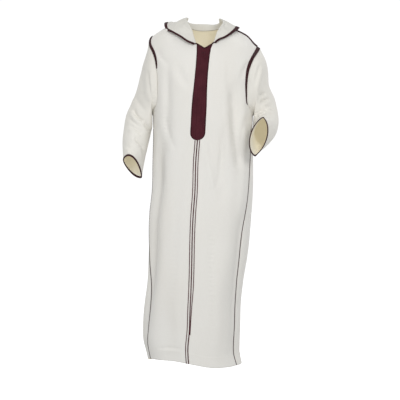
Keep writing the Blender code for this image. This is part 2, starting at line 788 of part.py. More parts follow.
def clear_of_body(point, clear):
    """The point, moved out until it keeps its clearance from the body."""
    for _ in range(8):
        distance, away = body_clearance(point)
        if distance >= clear:
            return point
        point = point + away * (clear - distance)
    return point


def behind_body(x, z, clear):
    """Depth just behind the back at this place."""
    level = min(z, smooth_at(RIDGE, x, 1) - 0.0005)
    return body_point(angle_of_x(x, level, True), level)[1] + clear


def hood_lines(share, start):
    """Five points down one strip of the hood: seam, crest, near wall, foot and face edge."""
    edge = np.array([smooth_at(HOOD_EDGE, share, k) for k in (1, 2, 3)])
    behind = 1 - abs(share - 0.5) / 0.5
    away = unit(np.array((start[0], start[1], 0.0)))
    crest = start + away * smooth_at(HOOD_CREST, share, 1)
    crest[2] += smooth_at(HOOD_CREST, share, 2)
    pouch = ease((behind - 0.42) / 0.56)
    wall = crest + (edge - crest) * 0.36
    foot = crest + (edge - crest) * 0.70
    if pouch > 0:
        wall_x = crest[0] + (edge[0] - crest[0]) * 0.55
        wall_z = (crest[2] + edge[2]) / 2 - POUCH_WALL_DROP * pouch**WALL_DROP_POWER
        wall_back = np.array((wall_x, behind_body(wall_x, wall_z, HOOD_CLEAR), wall_z))
        foot_x = edge[0] * (1 - 0.35 * pouch)
        foot_z = edge[2] - POUCH_DROP * pouch**FOOT_DROP_POWER
        standoff = edge[1] - behind_body(edge[0], edge[2], 0.0)
        foot_y = behind_body(foot_x, foot_z, HOOD_CLEAR) + POUCH_FULLNESS * standoff
        foot_back = np.array((foot_x, foot_y, foot_z))
        turn = pouch**POUCH_TURN_POWER
        wall = wall * (1 - turn) + wall_back * turn
        foot = foot * (1 - turn) + foot_back * turn
    return [start, crest, clear_of_body(wall, HOOD_CLEAR), clear_of_body(foot, HOOD_CLEAR), edge]


def hood_strip(share, start):
    """Points down one strip of the hood, the hanging side clear of the near wall."""
    line = hood_lines(share, start)
    last = len(line) - 1
    rim = body_clearance(line[-1])[0]
    strip = []
    for row in range(HOOD_ROWS + 1):
        place = last * row / HOOD_ROWS
        point = catmull(line, place)
        hanging = (place - WALL_LINE) / (last - WALL_LINE)
        if 0 < hanging < 1:
            away = HOOD_CLEAR + max(rim - HOOD_CLEAR, 0.0) * min(1.0, hanging * RIM_SHARE)
            point = clear_of_body(point, away)
        strip.append(point)
    return strip


def make_hood(front_grid, back_grid, mats):
    starts, directions, shares = neckline(front_grid, back_grid)
    strips = [hood_strip(share, start) for share, start in zip(shares, starts)]
    points = np.array(strips).transpose(1, 0, 2)
    normals = facing(points)
    middle = len(shares) // 2
    if normals[-2][middle][1] < 0:
        normals = -normals
    normals[0] = directions
    normals[-1] = squared(normals[-1], points[-1] - points[-2])
    cloth("hood", points, normals, mats["hood"])
    edge_band("hood_trim", points[-1], points[-2], normals[-1], mats["trim"],
              HOOD_TRIM_WIDTH, closed=False)


# ---- trims that lie on the panels ----
def row_of_level(grid, z, col):
    """Row number at which a column reaches a level."""
    heights = grid[0][:, col, 2]
    return float(np.interp(-z, -heights, np.arange(len(heights))))


def make_placket(front_grid, mats):
    """The braided band down the front opening, notched at the neck, round at its foot."""
    middle = FRONT_COLS
    foot = row_of_level(front_grid, PLACKET_BOTTOM_Z, middle)
    turn = row_of_level(front_grid, PLACKET_BOTTOM_Z + PLACKET_HALF, middle)
    rows = [float(r) for r in range(int(turn) + 1)]
    rows += [turn + (foot - turn) * math.sin(math.radians(a)) for a in (0, 20, 40, 58, 74, 86)]
    bands = []
    for row in rows:
        along = min(max((row - turn) / (foot - turn), 0.0), 1.0)
        half = PLACKET_HALF * math.sqrt(1 - 0.93 * along**2)
        step = float(np.linalg.norm(front_grid[0][int(row)][middle + 1]
                                    - front_grid[0][int(row)][middle]))
        from_neck = float(np.linalg.norm(sample(front_grid, row, middle)[0] - front_grid[0][0][middle]))
        right = (half + smooth_at(PLACKET_FLARE, from_neck, 1)) / step
        left = (half + smooth_at(PLACKET_FLARE, from_neck, 2)) / step
        inner = min(1.0, right * 0.6)
        cols = [middle - right, middle - inner, middle, middle + inner, middle + left]
        bands.append([sample(front_grid, row, c) for c in cols])
    trim_strip("placket", bands, mats["placket"])


def make_front_cords(front_grid, mats):
    """Three flat cords from the placket to the hem; the left one joins the middle one."""
    middle = FRONT_COLS
    start = row_of_level(front_grid, PLACKET_BOTTOM_Z - 0.0015, middle)
    last = len(front_grid[0]) - 1
    join = row_of_level(front_grid, CORD_JOIN_Z, middle)
    for name, side in (("cord_right", -1), ("cord_centre", 0), ("cord_left", 1)):
        end = join if side > 0 else last - 0.02
        rows = [start] + [float(r) for r in range(int(start) + 1, int(end) + 1)]
        if rows[-1] < end:
            rows.append(end)
        bands = []
        for row in rows:
            step = float(np.linalg.norm(front_grid[0][int(row)][middle + 1]
                                        - front_grid[0][int(row)][middle]))
            offset = side * CORD_SPACING
            if side > 0:
                offset *= 1 - 0.45 * ease((row - (end - 5)) / 5)
            cols = [middle + (offset + k * CORD_WIDTH / 2) / step for k in (-1, 1)]
            bands.append([sample(front_grid, row, c) for c in cols])
        trim_strip(name, bands, mats["trim"])


def edge_strip(grid, rows, left, near, far):
    """Band between two distances from a panel's side edge."""
    points = grid[0]
    last = len(points[0]) - 1
    bands = []
    for row in rows:
        r = min(int(row), len(points) - 1)
        pair = (last, last - 1) if left else (0, 1)
        step = float(np.linalg.norm(points[r][pair[0]] - points[r][pair[1]]))
        sign = -1 if left else 1
        cols = [pair[0] + sign * near / step, pair[0] + sign * far / step]
        bands.append([sample(grid, row, c) for c in cols])
    return bands


def make_side_cords(front_grid, back_grid, mats):
    """A thin cord beside each gusset seam, on the front and on the back."""
    last = len(front_grid[0]) - 1
    rows = [float(r) for r in range(YOKE_ROWS + 2, last)] + [last - 0.02]
    for side in ("right", "left"):
        for where, grid in (("front", front_grid), ("back", back_grid)):
            bands = edge_strip(grid, rows, side == "left", SIDE_CORD_INSET,
                               SIDE_CORD_INSET + SIDE_CORD_WIDTH)
            trim_strip("side_cord_" + where + "_" + side, bands, mats["trim"], lift=SIDE_CORD_LIFT)


def armhole_band(grid, left, table):
    """Bands down one side of an armhole, from the ridge to the braid's lowest level."""
    col = len(grid[0][0]) - 1 if left else 0
    foot = min(row_of_level(grid, table[-1][0], col), YOKE_ROWS - 1.0)
    rows = [k / 2 for k in range(math.ceil(foot * 2))] + [foot]
    bands = []
    for row in rows:
        width = smooth_at(table, sample(grid, row, col)[0][2], 1)
        bands += edge_strip(grid, [row], left, ARM_TRIM_INSET, width)
    return bands


def make_armhole_trims(front_grid, back_grid, mats):
    """A braid up the front edge of each armhole, over the ridge and down the back."""
    for side, fore, rear in (("right", ARM_TRIM_RIGHT, ARM_TRIM_RIGHT_BACK),
                             ("left", ARM_TRIM_LEFT, ARM_TRIM_LEFT_BACK)):
        left = side == "left"
        front = armhole_band(front_grid, left, fore)
        back = armhole_band(back_grid, left, rear)
        trim_strip("armhole_trim_" + side, front[::-1] + back[1:], mats["trim"], lift=ARM_TRIM_LIFT)


def below_ridge(grid, col, distance):
    """Place on a panel at a distance down from its top edge."""
    places = [sample(grid, row, col)[0] for row in range(4)]
    steps = np.linalg.norm(np.diff(np.array(places), axis=0), axis=1)
    row = float(np.interp(distance, np.concatenate([[0], np.cumsum(steps)]), np.arange(4)))
    return sample(grid, row, col)


def make_shoulder_trims(front_grid, back_grid, mats):
    """A band along each shoulder, from the hood to the armhole braid."""
    xs = front_grid[0][0][:, 0]
    count = np.arange(len(xs))
    for side, sign, forward, table in (("right", -1, SHOULDER_TRIM_FORWARD_RIGHT, ARM_TRIM_RIGHT),
                                       ("left", 1, SHOULDER_TRIM_FORWARD_LEFT, ARM_TRIM_LEFT)):
        step = float(abs(xs[-1] - xs[-2]) if sign > 0 else abs(xs[0] - xs[1]))
        end_col = (len(xs) - 1 if sign > 0 else 0) - sign * (table[0][1] + 0.001) / step
        start_col = float(np.interp(sign * SHOULDER_TRIM_INNER_X, xs, count))
        bands = []
        for k in range(SHOULDER_TRIM_STEPS + 1):
            col = start_col + (end_col - start_col) * k / SHOULDER_TRIM_STEPS
            x = float(np.interp(col, count, xs))
            back_col = float(np.interp(x, back_grid[0][0][:, 0], np.arange(BACK_COLS + 1)))
            band = []
            for across in (forward + SHOULDER_TRIM_HALF, forward, forward - SHOULDER_TRIM_HALF):
                if across > 0:
                    band.append(below_ridge(front_grid, col, across))
                else:
                    band.append(below_ridge(back_grid, back_col, -across))
            bands.append(band)
        trim_strip("shoulder_trim_" + side, bands, mats["trim"], lift=SHOULDER_TRIM_LIFT)


def clear_scene():
    for obj in list(bpy.data.objects):
        bpy.data.objects.remove(obj, do_unlink=True)


clear_scene()
robe = bpy.data.collections.new("hooded_robe")
bpy.context.scene.collection.children.link(robe)

finishes = {
    "cloth": material("cream_cloth", CREAM, 0.86),
    "sleeve": material("cream_sleeve_cloth", CREAM_SLEEVE, 0.86),
    "hood": material("cream_hood_cloth", CREAM_HOOD, 0.86),
    "placket": material("burgundy_braid", BURGUNDY, 0.62),
    "trim": material("dark_burgundy_cord", DARK_BURGUNDY, 0.58),
}

front = make_front(finishes)
back = make_back(finishes)
make_gusset("side_panel_right", False, finishes)
make_gusset("side_panel_left", True, finishes)
for sleeve_side in ("right", "left"):
    make_sleeve(sleeve_side, front, back, finishes)
make_hood(front, back, finishes)
make_placket(front, finishes)
make_front_cords(front, finishes)
make_side_cords(front, back, finishes)
make_armhole_trims(front, back, finishes)
make_shoulder_trims(front, back, finishes)
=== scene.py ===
import math

import bpy
import numpy as np
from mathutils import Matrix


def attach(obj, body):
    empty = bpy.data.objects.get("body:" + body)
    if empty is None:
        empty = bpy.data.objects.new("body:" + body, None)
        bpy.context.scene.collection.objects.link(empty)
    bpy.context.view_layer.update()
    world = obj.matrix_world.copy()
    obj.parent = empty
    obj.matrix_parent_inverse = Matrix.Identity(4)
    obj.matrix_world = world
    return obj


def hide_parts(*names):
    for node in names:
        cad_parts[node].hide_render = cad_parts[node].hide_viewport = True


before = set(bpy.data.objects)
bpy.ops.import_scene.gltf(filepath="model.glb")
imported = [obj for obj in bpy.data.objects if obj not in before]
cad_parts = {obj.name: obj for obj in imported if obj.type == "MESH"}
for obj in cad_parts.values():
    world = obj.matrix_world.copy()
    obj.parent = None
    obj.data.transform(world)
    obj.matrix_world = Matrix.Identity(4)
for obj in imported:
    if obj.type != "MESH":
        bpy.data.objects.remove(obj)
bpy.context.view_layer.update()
print("robe: frame loaded")

# the cut of the robe, in metres; the front faces -Y and the wearer's left is +X
robe = {
    "cloth": 0.0013, "seamGap": 0.0003, "hemZ": -1.393, "underarmZ": -0.34,
    "neckHalf": 0.082, "neckCorner": 0.034, "notchZ": -0.0745, "cornerZ": -0.053, "napeZ": 0.04,
    "upperLevel": 0.1, "squareness": 2.25,
    "hemLift": 0.029, "hemLiftAngle": -44.0, "hemLiftSpread": 49.0, "hemLiftPower": 4.0, "seamBlend": 0.045,
    "yokeRows": 84, "yokePower": 1.9, "skirtRows": 250, "halfColumns": 56,
    "seamDip": 0.0008, "seamDipWidth": 0.0026, "hemDepth": 0.042, "hemStep": 0.0007, "hemFade": 0.0015,
    # size of the faint ripple, and how far from an edge the cloth is calm
    "ripple": 0.001, "calmTop": 0.03, "calmSide": 0.02,
}

# in millimetres: level, middle x, half width, middle y, depth to the front, depth to the back
bodySections = np.array([
    (120, 0, 272, 0, 110, 118), (0, 0, 270, 0, 116, 126), (-100, -4, 250, 2, 128, 140),
    (-200, -6, 228, 4, 140, 150), (-350, -7, 213, 5, 150, 158), (-530, -6, 213.5, 6, 156, 162),
    (-658, -7, 214, 6, 160, 166), (-769, -16, 216.5, 6, 163, 170), (-922, -24, 211, 6, 165, 174),
    (-1046, -37, 203.5, 6, 166, 178), (-1144, -49, 205, 6, 166, 182), (-1230, -53.5, 207.5, 6, 166, 184),
    (-1305, -54.5, 205.5, 6, 166, 186), (-1349, -48.5, 199.5, 6, 165, 186),
    (-1393, -39.5, 198.5, 6, 164, 184),
]) / 1000

# level, angle of the front centre line from -Y
centreTurn = [
    (0.06, 0.4), (-0.06, 0.2), (-0.21, -1.7), (-0.41, -4.2), (-0.46, -4.9), (-0.53, -6.2), (-0.8, -6.5),
    (-0.905, -6.3), (-1.032, -4.3), (-1.161, -2), (-1.27, -1.8), (-1.393, -4.8),
]

# in millimetres: across x, height of the shoulder ridge, rounding radius
shoulderRidge = np.array([
    (-300, -75, 85), (-229, -8, 80), (-171, 30, 75), (-120, 47, 75), (-82, 56, 80), (0, 85, 90),
    (82, 40, 80), (120, 26, 75), (151, 11.5, 75), (186, -10, 75), (208, -34, 80), (238, -56, 80),
    (300, -110, 85),
]) / 1000

# in millimetres: level, front edge x, back edge x
armholeRight = np.array([
    (-8, -229, -229), (-30, -235, -230), (-54, -232, -224), (-79, -220, -214), (-103, -211, -206),
    (-128, -205, -200), (-180, -199, -195), (-240, -198, -194), (-300, -204, -200), (-340, -215, -212),
]) / 1000
armholeLeft = np.array([
    (-56, 238, 238), (-66, 233, 233), (-110, 206, 210), (-158, 187, 194), (-208, 179, 185),
    (-255, 176.5, 183), (-300, 177, 184), (-340, 191, 195),
]) / 1000

# level, angles of the gusset seams: right front, right back, left front, left back
gussetSeams = [
    (-0.34, -82, -97, 76, 96), (-0.6, -82, -102, 64, 98), (-0.766, -81, -103, 58.5, 99),
    (-0.905, -79, -104, 57, 100), (-1.005, -75.5, -105, 59.5, 101), (-1.12, -70.5, -105.5, 62.5, 102),
    (-1.25, -67, -106, 63.5, 102), (-1.393, -66.5, -106, 63, 102),
]

# angle at the top and at the foot, half width in degrees, rise, top, foot, fade
hangingFolds = [
    (-54, -71, 11, -0.0175, -0.3, -1.46, 0.36), (-72, -82, 8, 0.006, -0.4, -1.36, 0.2),
    (-40, -48, 10, 0.005, -0.35, -1.3, 0.3), (33, 47, 8, -0.0115, -0.17, -0.66, 0.14),
    (50, 46, 8, 0.006, -0.2, -0.9, 0.18), (17, 20, 6.5, -0.0085, -0.36, -0.76, 0.12),
    (48, 60, 10, -0.014, -0.68, -1.46, 0.16), (20, 26, 13, 0.009, -0.85, -1.45, 0.25),
    (-24, -30, 18, -0.02, -1, -1.5, 0.3), (-37, -43, 6.5, -0.0055, -0.13, -0.56, 0.16),
    (124, 128, 9, -0.013, -0.25, -1.45, 0.25), (143, 148, 9, 0.011, -0.3, -1.45, 0.25),
    (163, 166, 8, -0.012, -0.4, -1.45, 0.25), (183, 184, 10, 0.008, -0.45, -1.45, 0.3),
    (203, 201, 8, -0.013, -0.38, -1.45, 0.25), (222, 218, 9, 0.011, -0.3, -1.45, 0.25),
    (240, 236, 8, -0.012, -0.28, -1.45, 0.25),
]


def smoothAt(table, value):
    # the columns of a table on smooth curves through its rows, for many values at once
    rows = np.array(table, dtype=float)
    if rows[0, 0] > rows[-1, 0]:
        rows = rows[::-1]
    keys = rows[:, 0]
    value = np.clip(value, keys[0], keys[-1])
    i = np.clip(np.searchsorted(keys, value) - 1, 0, len(keys) - 2)
    span = keys[i + 1] - keys[i]
    t = (value - keys[i]) / span
    columns = []
    for column in rows[:, 1:].T:
        slopes = np.gradient(column, keys)
        start = (2 * t**3 - 3 * t**2 + 1) * column[i] + (t**3 - 2 * t**2 + t) * span * slopes[i]
        columns.append(start + (3 * t**2 - 2 * t**3) * column[i + 1] + (t**3 - t**2) * span * slopes[i + 1])
    return columns


def ease(t):
    t = np.clip(t, 0.0, 1.0)
    return t * t * (3 - 2 * t)


def bell(off, width):
    return np.exp(-(off / width)**2)


def unit(vectors):
    return vectors / np.maximum(np.linalg.norm(vectors, axis=-1, keepdims=True), 1e-12)


def signedPower(value, power):
    return np.sign(value) * np.abs(value)**power


def turnedBy(angle, centre):
    # degrees from one angle to another, the short way round
    return (angle - centre + 180) % 360 - 180


def ridgeAt(x):
    return smoothAt(shoulderRidge, x)[0]


def shoulderDrop(x, z):
    # how far a level lies under the ridge, as a share of the rounding radius
    ridge, radius = smoothAt(shoulderRidge, x)
    return (ridge - z) / radius


def foldRise(angle, z):
    rise = 0.0
    for topAngle, footAngle, half, height, top, foot, fade in hangingFolds:
        centre = topAngle + (footAngle - topAngle) * np.clip((top - z) / (top - foot), 0.0, 1.0)
        ends = ease((top - z) / fade) * ease((z - foot) / fade)
        rise = rise + height * ends * bell(turnedBy(angle, centre), half)
    return rise


def bodyPoint(angle, z):
    # the body's face at an angle from -Y towards +X
    angle, z = np.broadcast_arrays(np.asarray(angle, dtype=float), np.asarray(z, dtype=float))
    sine = np.sin(np.radians(angle))
    cosine = np.cos(np.radians(angle))
    middleX, halfWidth, middleY, front, behind = smoothAt(bodySections, z)
    power = 2 / robe["squareness"]
    x = middleX + halfWidth * signedPower(sine, power)
    rounding = np.sqrt(1 - (1 - np.clip(shoulderDrop(x, z), 0.0, 1.0))**2)
    y = middleY - np.where(cosine > 0, front, behind) * signedPower(cosine, power) * rounding
    rise = foldRise(angle, z) * rounding
    return np.stack([x + rise * sine, y - rise * cosine, z], axis=-1)


def bodyNormal(angle, z):
    across = bodyPoint(angle + 0.6, z) - bodyPoint(angle - 0.6, z)
    down = bodyPoint(angle, z - 0.0015) - bodyPoint(angle, z)
    return unit(np.cross(down, across))


def ridgeUp(x):
    step = 0.004
    rise = ridgeAt(x + step) - ridgeAt(x - step)
    return unit(np.stack([-rise, np.zeros_like(rise), np.full_like(rise, 2 * step)], axis=-1))


def angleOfX(x, z, back):
    middleX, halfWidth = smoothAt(bodySections, z)[:2]
    share = np.clip((x - middleX) / halfWidth, -1.0, 1.0)
    angle = np.degrees(np.arcsin(signedPower(share, robe["squareness"] / 2)))
    return 180 - angle if back else angle


def edgeAngle(z, left, back):
    # a panel's side edge: the armhole, then the gusset seam
    seam = smoothAt(gussetSeams, z)[back + 2 * left]
    seam = seam % 360 if back else seam
    hole = angleOfX(smoothAt(armholeLeft if left else armholeRight, z)[back], z, back)
    mix = ease((robe["underarmZ"] + robe["seamBlend"] - z) / robe["seamBlend"])
    return np.where(z < robe["underarmZ"], seam, hole + (seam - hole) * mix)


def topHeight(x, back):
    # the shoulder seam, or the neckline between the neck points
    neckZ = ridgeAt(np.sign(x) * robe["neckHalf"])
    off = np.abs(x)
    if back:
        inner = robe["napeZ"] + (neckZ - robe["napeZ"]) * np.clip(off / robe["neckHalf"], 0, 1)**3
    else:
        corner = robe["neckCorner"]
        share = np.clip((off - corner) / (robe["neckHalf"] - corner), 0, 1)
        notch = robe["notchZ"] + (robe["cornerZ"] - robe["notchZ"]) * off / corner
        inner = np.where(off < corner, notch, robe["cornerZ"] + (neckZ - robe["cornerZ"]) * share**0.8)
    return np.where(off >= robe["neckHalf"], ridgeAt(x), inner)


def panelAngle(share, z, back):
    middle = smoothAt(centreTurn, z)[0] + (180 if back else 0)
    edge = np.where(share > 0, edgeAngle(z, True, back), edgeAngle(z, False, back))
    return middle + (edge - middle) * np.abs(share)


def hemmedZ(angle, z):
    # the hem rides up over the right shin
    off = np.abs(turnedBy(angle, robe["hemLiftAngle"]) / robe["hemLiftSpread"])
    share = (robe["underarmZ"] - z) / (robe["underarmZ"] - robe["hemZ"])
    return z + robe["hemLift"] * ease(share) * np.exp(-off**robe["hemLiftPower"])


def skirtLevels():
    k = np.arange(1, robe["skirtRows"] + 1) / robe["skirtRows"]
    return robe["underarmZ"] + (robe["hemZ"] - robe["underarmZ"]) * k


def panelPoints(shares, back):
    # a whole panel, one row for each level from the shoulder to the hem
    top = ridgeAt(0.15 * shares)
    for _ in range(24):
        x = bodyPoint(panelAngle(shares, top, back), top)[..., 0]
        top = top + 0.6 * (topHeight(x, back) - top)
    yoke = (np.arange(robe["yokeRows"] + 1) / robe["yokeRows"])**robe["yokePower"]
    z = top[None, :] + (robe["underarmZ"] - top[None, :]) * yoke[:, None]
    upper = bodyPoint(panelAngle(shares[None, :], z, back), z)
    level = np.broadcast_to(skirtLevels()[:, None], (robe["skirtRows"], len(shares)))
    angle = panelAngle(shares[None, :], level, back)
    whole = np.concatenate([upper, bodyPoint(angle, hemmedZ(angle, level))], axis=0)
    return whole[:, ::-1] if back else whole


def facing(points, around=False):
    # the direction straight off a grid of points
    across = np.gradient(points, axis=1)
    if around:
        across = (np.roll(points, -1, axis=1) - np.roll(points, 1, axis=1)) / 2
    return unit(np.cross(np.gradient(points, axis=0), across))


def pathLengths(path):
    # length along a path, or down each column of a grid, from its first row
    steps = np.linalg.norm(np.diff(path, axis=0), axis=-1)
    return np.concatenate([np.zeros_like(steps[:1]), np.cumsum(steps, axis=0)])


def alongRows(points):
    # length along each row of a grid from its first column
    return pathLengths(points.swapaxes(0, 1)).T


def fromLast(lengths):
    return lengths[-1:] - lengths


def fromSides(points):
    across = alongRows(points)
    return np.minimum(across, across[:, -1:] - across)


def sampleGrid(points, row, column):
    # the values of a grid between its rows and columns
    row = np.clip(np.asarray(row), 0, len(points) - 1.0)
    column = np.clip(np.asarray(column), 0, points.shape[1] - 1.0)
    r = np.clip(row.astype(int), 0, len(points) - 2)
    c = np.clip(column.astype(int), 0, points.shape[1] - 2)
    fr = (row - r)[..., None]
    fc = (column - c)[..., None]
    low = points[r, c] * (1 - fc) + points[r, c + 1] * fc
    high = points[r + 1, c] * (1 - fc) + points[r + 1, c + 1] * fc
    return low * (1 - fr) + high * fr


def onGrid(grid, row, column):
    # points and directions of a piece between its rows and columns
    points, normals = grid
    return sampleGrid(points, row, column), unit(sampleGrid(normals, row, column))


def looped(path, closed):
    return np.concatenate([path, path[:1]]) if closed else path


def evenPlaces(path, count, closed=False):
    # evenly spaced places along a path, as numbers between its points
    along = pathLengths(looped(path, closed))
    wanted = np.linspace(0, along[-1], count + 1)
    if closed:
        wanted = wanted[:-1]
    return np.interp(wanted, along, np.arange(len(along)))


def resampled(path, spacing, closed=False):
    length = pathLengths(looped(path, closed))[-1]
    return evenPlaces(path, max(int(length / spacing), 4), closed)


def alongPath(path, places, closed=False):
    line = looped(path, closed)
    index = np.arange(len(line))
    return np.stack([np.interp(places, index, line[:, k]) for k in range(line.shape[1])], axis=1)


def pinch(off, half, ridge):
    # a trough along a line with a low ridge beside it
    return ridge * bell(off - 2 * half, 1.4 * half) - bell(off, half)


creasing = {"points": 29, "ridge": 0.55, "endBlur": 0.02, "endPower": 0.7, "turn": 1.6}


def creaseRise(points, normals, creases):
    # soft pinches along bent lines, each on one side of the piece
    rise = np.zeros(points.shape[:2])
    t = np.linspace(0, 1, creasing["points"])
    for *measures, side in creases:
        x0, z0, x1, z1, x2, z2, half, depth = np.array(measures) / 1000
        bendX = 2 * x1 - (x0 + x2) / 2
        bendZ = 2 * z1 - (z0 + z2) / 2
        lineX = (1 - t)**2 * x0 + 2 * t * (1 - t) * bendX + t**2 * x2
        lineZ = (1 - t)**2 * z0 + 2 * t * (1 - t) * bendZ + t**2 * z2
        runX = np.gradient(lineX)
        runZ = np.gradient(lineZ)
        offX = points[..., 0, None] - lineX
        offZ = points[..., 2, None] - lineZ
        near = np.argmin(offX**2 + offZ**2, axis=-1)
        dx = np.take_along_axis(offX, near[..., None], -1)[..., 0]
        dz = np.take_along_axis(offZ, near[..., None], -1)[..., 0]
        away = np.hypot(dx, dz) * np.sign(dx * runZ[near] - dz * runX[near])
        ends = (4 * t[near] * (1 - t[near]) + creasing["endBlur"])**creasing["endPower"]
        turned = ease(0.5 + creasing["turn"] * side * normals[..., 1])
        rise += depth * pinch(away, half, creasing["ridge"]) * ends * turned
    return rise


def ripple(points, size):
    # faint unevenness that hanging cloth keeps
    x, y, z = points[..., 0], points[..., 1], points[..., 2]
    wave = np.sin(41 * x + 3.1 * z + 1.3 * np.sin(5 * z + 0.7))
    wave += 0.7 * np.sin(67 * x - 31 * y + 4.3 * z + 2.1)
    wave += 0.6 * np.sin(53 * y + 7 * z + 2 * np.sin(3 * z))
    wave += 0.4 * np.sin(97 * x + 83 * y - 11 * z + 0.4)
    return size * wave * 0.5


def meshPiece(name, verts, faces, uvs=None, inner=None, smooth=True, caps=()):
    # a named object with one node, from points and faces; inner faces take the second finish
    data = bpy.data.meshes.new(name)
    data.from_pydata(verts.tolist(), [], faces.tolist() + list(caps))
    if uvs is not None:
        layer = data.uv_layers.new(name="cloth")
        order = np.zeros(len(data.loops), dtype=np.int32)
        data.loops.foreach_get("vertex_index", order)
        layer.data.foreach_set("uv", uvs[order].astype(np.float32).ravel())
    if smooth:
        data.polygons.foreach_set("use_smooth", np.ones(len(data.polygons), dtype=bool))
    if inner is not None:
        data.polygons.foreach_set("material_index", inner.astype(np.int32))
    data.update()
    piece = bpy.data.objects.new(name, data)
    bpy.context.scene.collection.objects.link(piece)
    return piece


def numberGrid(rows, columns, first=0, around=False, closed=False):
    # point numbers of a grid; its first column or row comes again where it goes round
    number = first + np.arange(rows * columns).reshape(rows, columns)
    if around:
        number = np.concatenate([number, number[:, :1]], axis=1)
    return looped(number, closed)


def gridFaces(number, turned=False):
    corners = [number[:-1, :-1], number[:-1, 1:], number[1:, 1:], number[1:, :-1]]
    quads = np.stack(corners, axis=-1).reshape(-1, 4)
    return quads[:, ::-1] if turned else quads


def rimFaces(outer, inner):
    # one strip of faces between the ends of the outer and inner points
    return np.stack([outer[:-1], inner[:-1], inner[1:], outer[1:]], axis=-1)


def clothPiece(name, points, normals, thickness, around=False):
    # a thin shell on a grid of outer points, with its lining side as the second finish
    rows, columns = points.shape[:2]
    verts = np.concatenate([points, points - normals * thickness]).reshape(-1, 3)
    width = alongRows(points)
    middle = width[:, columns // 2:columns // 2 + 1]
    flat = np.stack([width - middle, -pathLengths(points)], axis=-1).reshape(-1, 2)
    number = numberGrid(rows, columns, 0, around)
    under = number + rows * columns
    outerFaces = gridFaces(number, turned=True)
    innerFaces = gridFaces(under)
    rims = [rimFaces(under[0], number[0]), rimFaces(number[-1], under[-1])]
    if not around:
        rims += [rimFaces(number[:, 0], under[:, 0]), rimFaces(under[:, -1], number[:, -1])]
    rim = np.concatenate(rims)
    faces = np.concatenate([outerFaces, innerFaces, rim])
    inner = np.repeat([0, 1, 0], [len(outerFaces), len(innerFaces), len(rim)])
    return meshPiece(name, verts, faces, np.tile(flat, (2, 1)), inner)


def dress(piece, finishes, node=None):
    for finish in finishes:
        piece.data.materials.append(finish)
    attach(piece, "root")
    if node:
        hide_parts(node)
    return piece


def setInputs(node, values):
    for key, value in values.items():
        node.inputs[key].default_value = value


def newFinish(name, roughness, sheen, sheenTint=(1.0, 1.0, 1.0, 1.0), specular=0.28):
    finish = bpy.data.materials.new(name)
    finish.use_nodes = True
    shader = finish.node_tree.nodes["Principled BSDF"]
    setInputs(shader, {"Roughness": roughness, "Sheen Weight": sheen, "Sheen Roughness": 0.45,
                       "Sheen Tint": sheenTint, "Specular IOR Level": specular})
    return finish, finish.node_tree, shader


def addNode(tree, kind, inputs=None, output=0, **settings):
    # a node's output; plain values are set on its inputs and other nodes' outputs are linked to them
    node = tree.nodes.new("ShaderNode" + kind)
    for key, value in settings.items():
        setattr(node, key, value)
    for key, value in (inputs or {}).items():
        if isinstance(value, bpy.types.NodeSocket):
            tree.links.new(value, node.inputs[key])
        else:
            node.inputs[key].default_value = value
    return node.outputs[output]


def mathNode(tree, operation, *values):
    return addNode(tree, "Math", dict(enumerate(values)), operation=operation)


def times(tree, first, second):
    return mathNode(tree, "MULTIPLY", first, second)


def shaded(tree, first, second):
    # one colour multiplied by another
    return addNode(tree, "Mix", {0: 1.0, 6: first, 7: second}, 2, data_type="RGBA", blend_type="MULTIPLY")


def noiseAt(tree, place, scale, detail=2.0):
    return addNode(tree, "TexNoise", {"Vector": place, "Scale": scale, "Detail": detail}, "Fac")


def stretched(tree, place, scale):
    return addNode(tree, "Mapping", {"Vector": place, "Scale": scale}, "Vector")


def ramp(tree, value, stops):
    colours = addNode(tree, "ValToRGB", {0: value})
    for number, (place, colour) in enumerate(stops):
        elements = colours.node.color_ramp.elements
        stop = elements[number] if number < 2 else elements.new(place)
        stop.position = place
        stop.color = colour
    return colours


def raised(tree, shader, height, strength, distance):
    bump = addNode(tree, "Bump", {"Height": height, "Strength": strength, "Distance": distance})
    tree.links.new(bump, shader.inputs["Normal"])


def grey(shade):
    return (shade, shade, shade, 1)


weave = {"threadPitch": 0.00085, "slubScale": 700.0, "slubStretch": 0.06, "bump": 0.3, "height": 0.00012,
         "toneScale": 7.0, "unevenness": 0.16}


def wovenFinish(name, colour, warm, roughness=0.8, sheen=0.22):
    # plain weave: two crossed sets of threads, slubs, and slow changes of tone
    finish, tree, shader = newFinish(name, roughness, sheen)
    uv = addNode(tree, "UVMap")
    split = addNode(tree, "SeparateXYZ", {0: uv}).node.outputs
    turns = 2 * math.pi / weave["threadPitch"]
    threads = [mathNode(tree, "SINE", times(tree, split[k], turns)) for k in (0, 1)]
    thin = weave["slubStretch"]
    slubs = mathNode(tree, "ADD", *[noiseAt(tree, stretched(tree, uv, scale), weave["slubScale"])
                                    for scale in ((1.0, thin, 1.0), (thin, 1.0, 1.0))])
    height = mathNode(tree, "ADD", times(tree, times(tree, *threads), 0.5), slubs)
    raised(tree, shader, height, weave["bump"], weave["height"])
    place = addNode(tree, "TexCoord", output="Object")
    tone = noiseAt(tree, stretched(tree, place, (1.0, 1.0, 0.35)), weave["toneScale"], 3.0)
    plain = ramp(tree, tone, [(0.3, warm), (0.7, colour)])
    thread = ramp(tree, times(tree, slubs, 0.5), [(0.3, (0.955, 0.95, 0.94, 1)), (0.7, grey(1.0))])
    tree.links.new(shaded(tree, plain, thread), shader.inputs["Base Color"])
    uneven = mathNode(tree, "MULTIPLY_ADD", tone, weave["unevenness"], roughness - weave["unevenness"] / 2)
    tree.links.new(uneven, shader.inputs["Roughness"])
    return finish


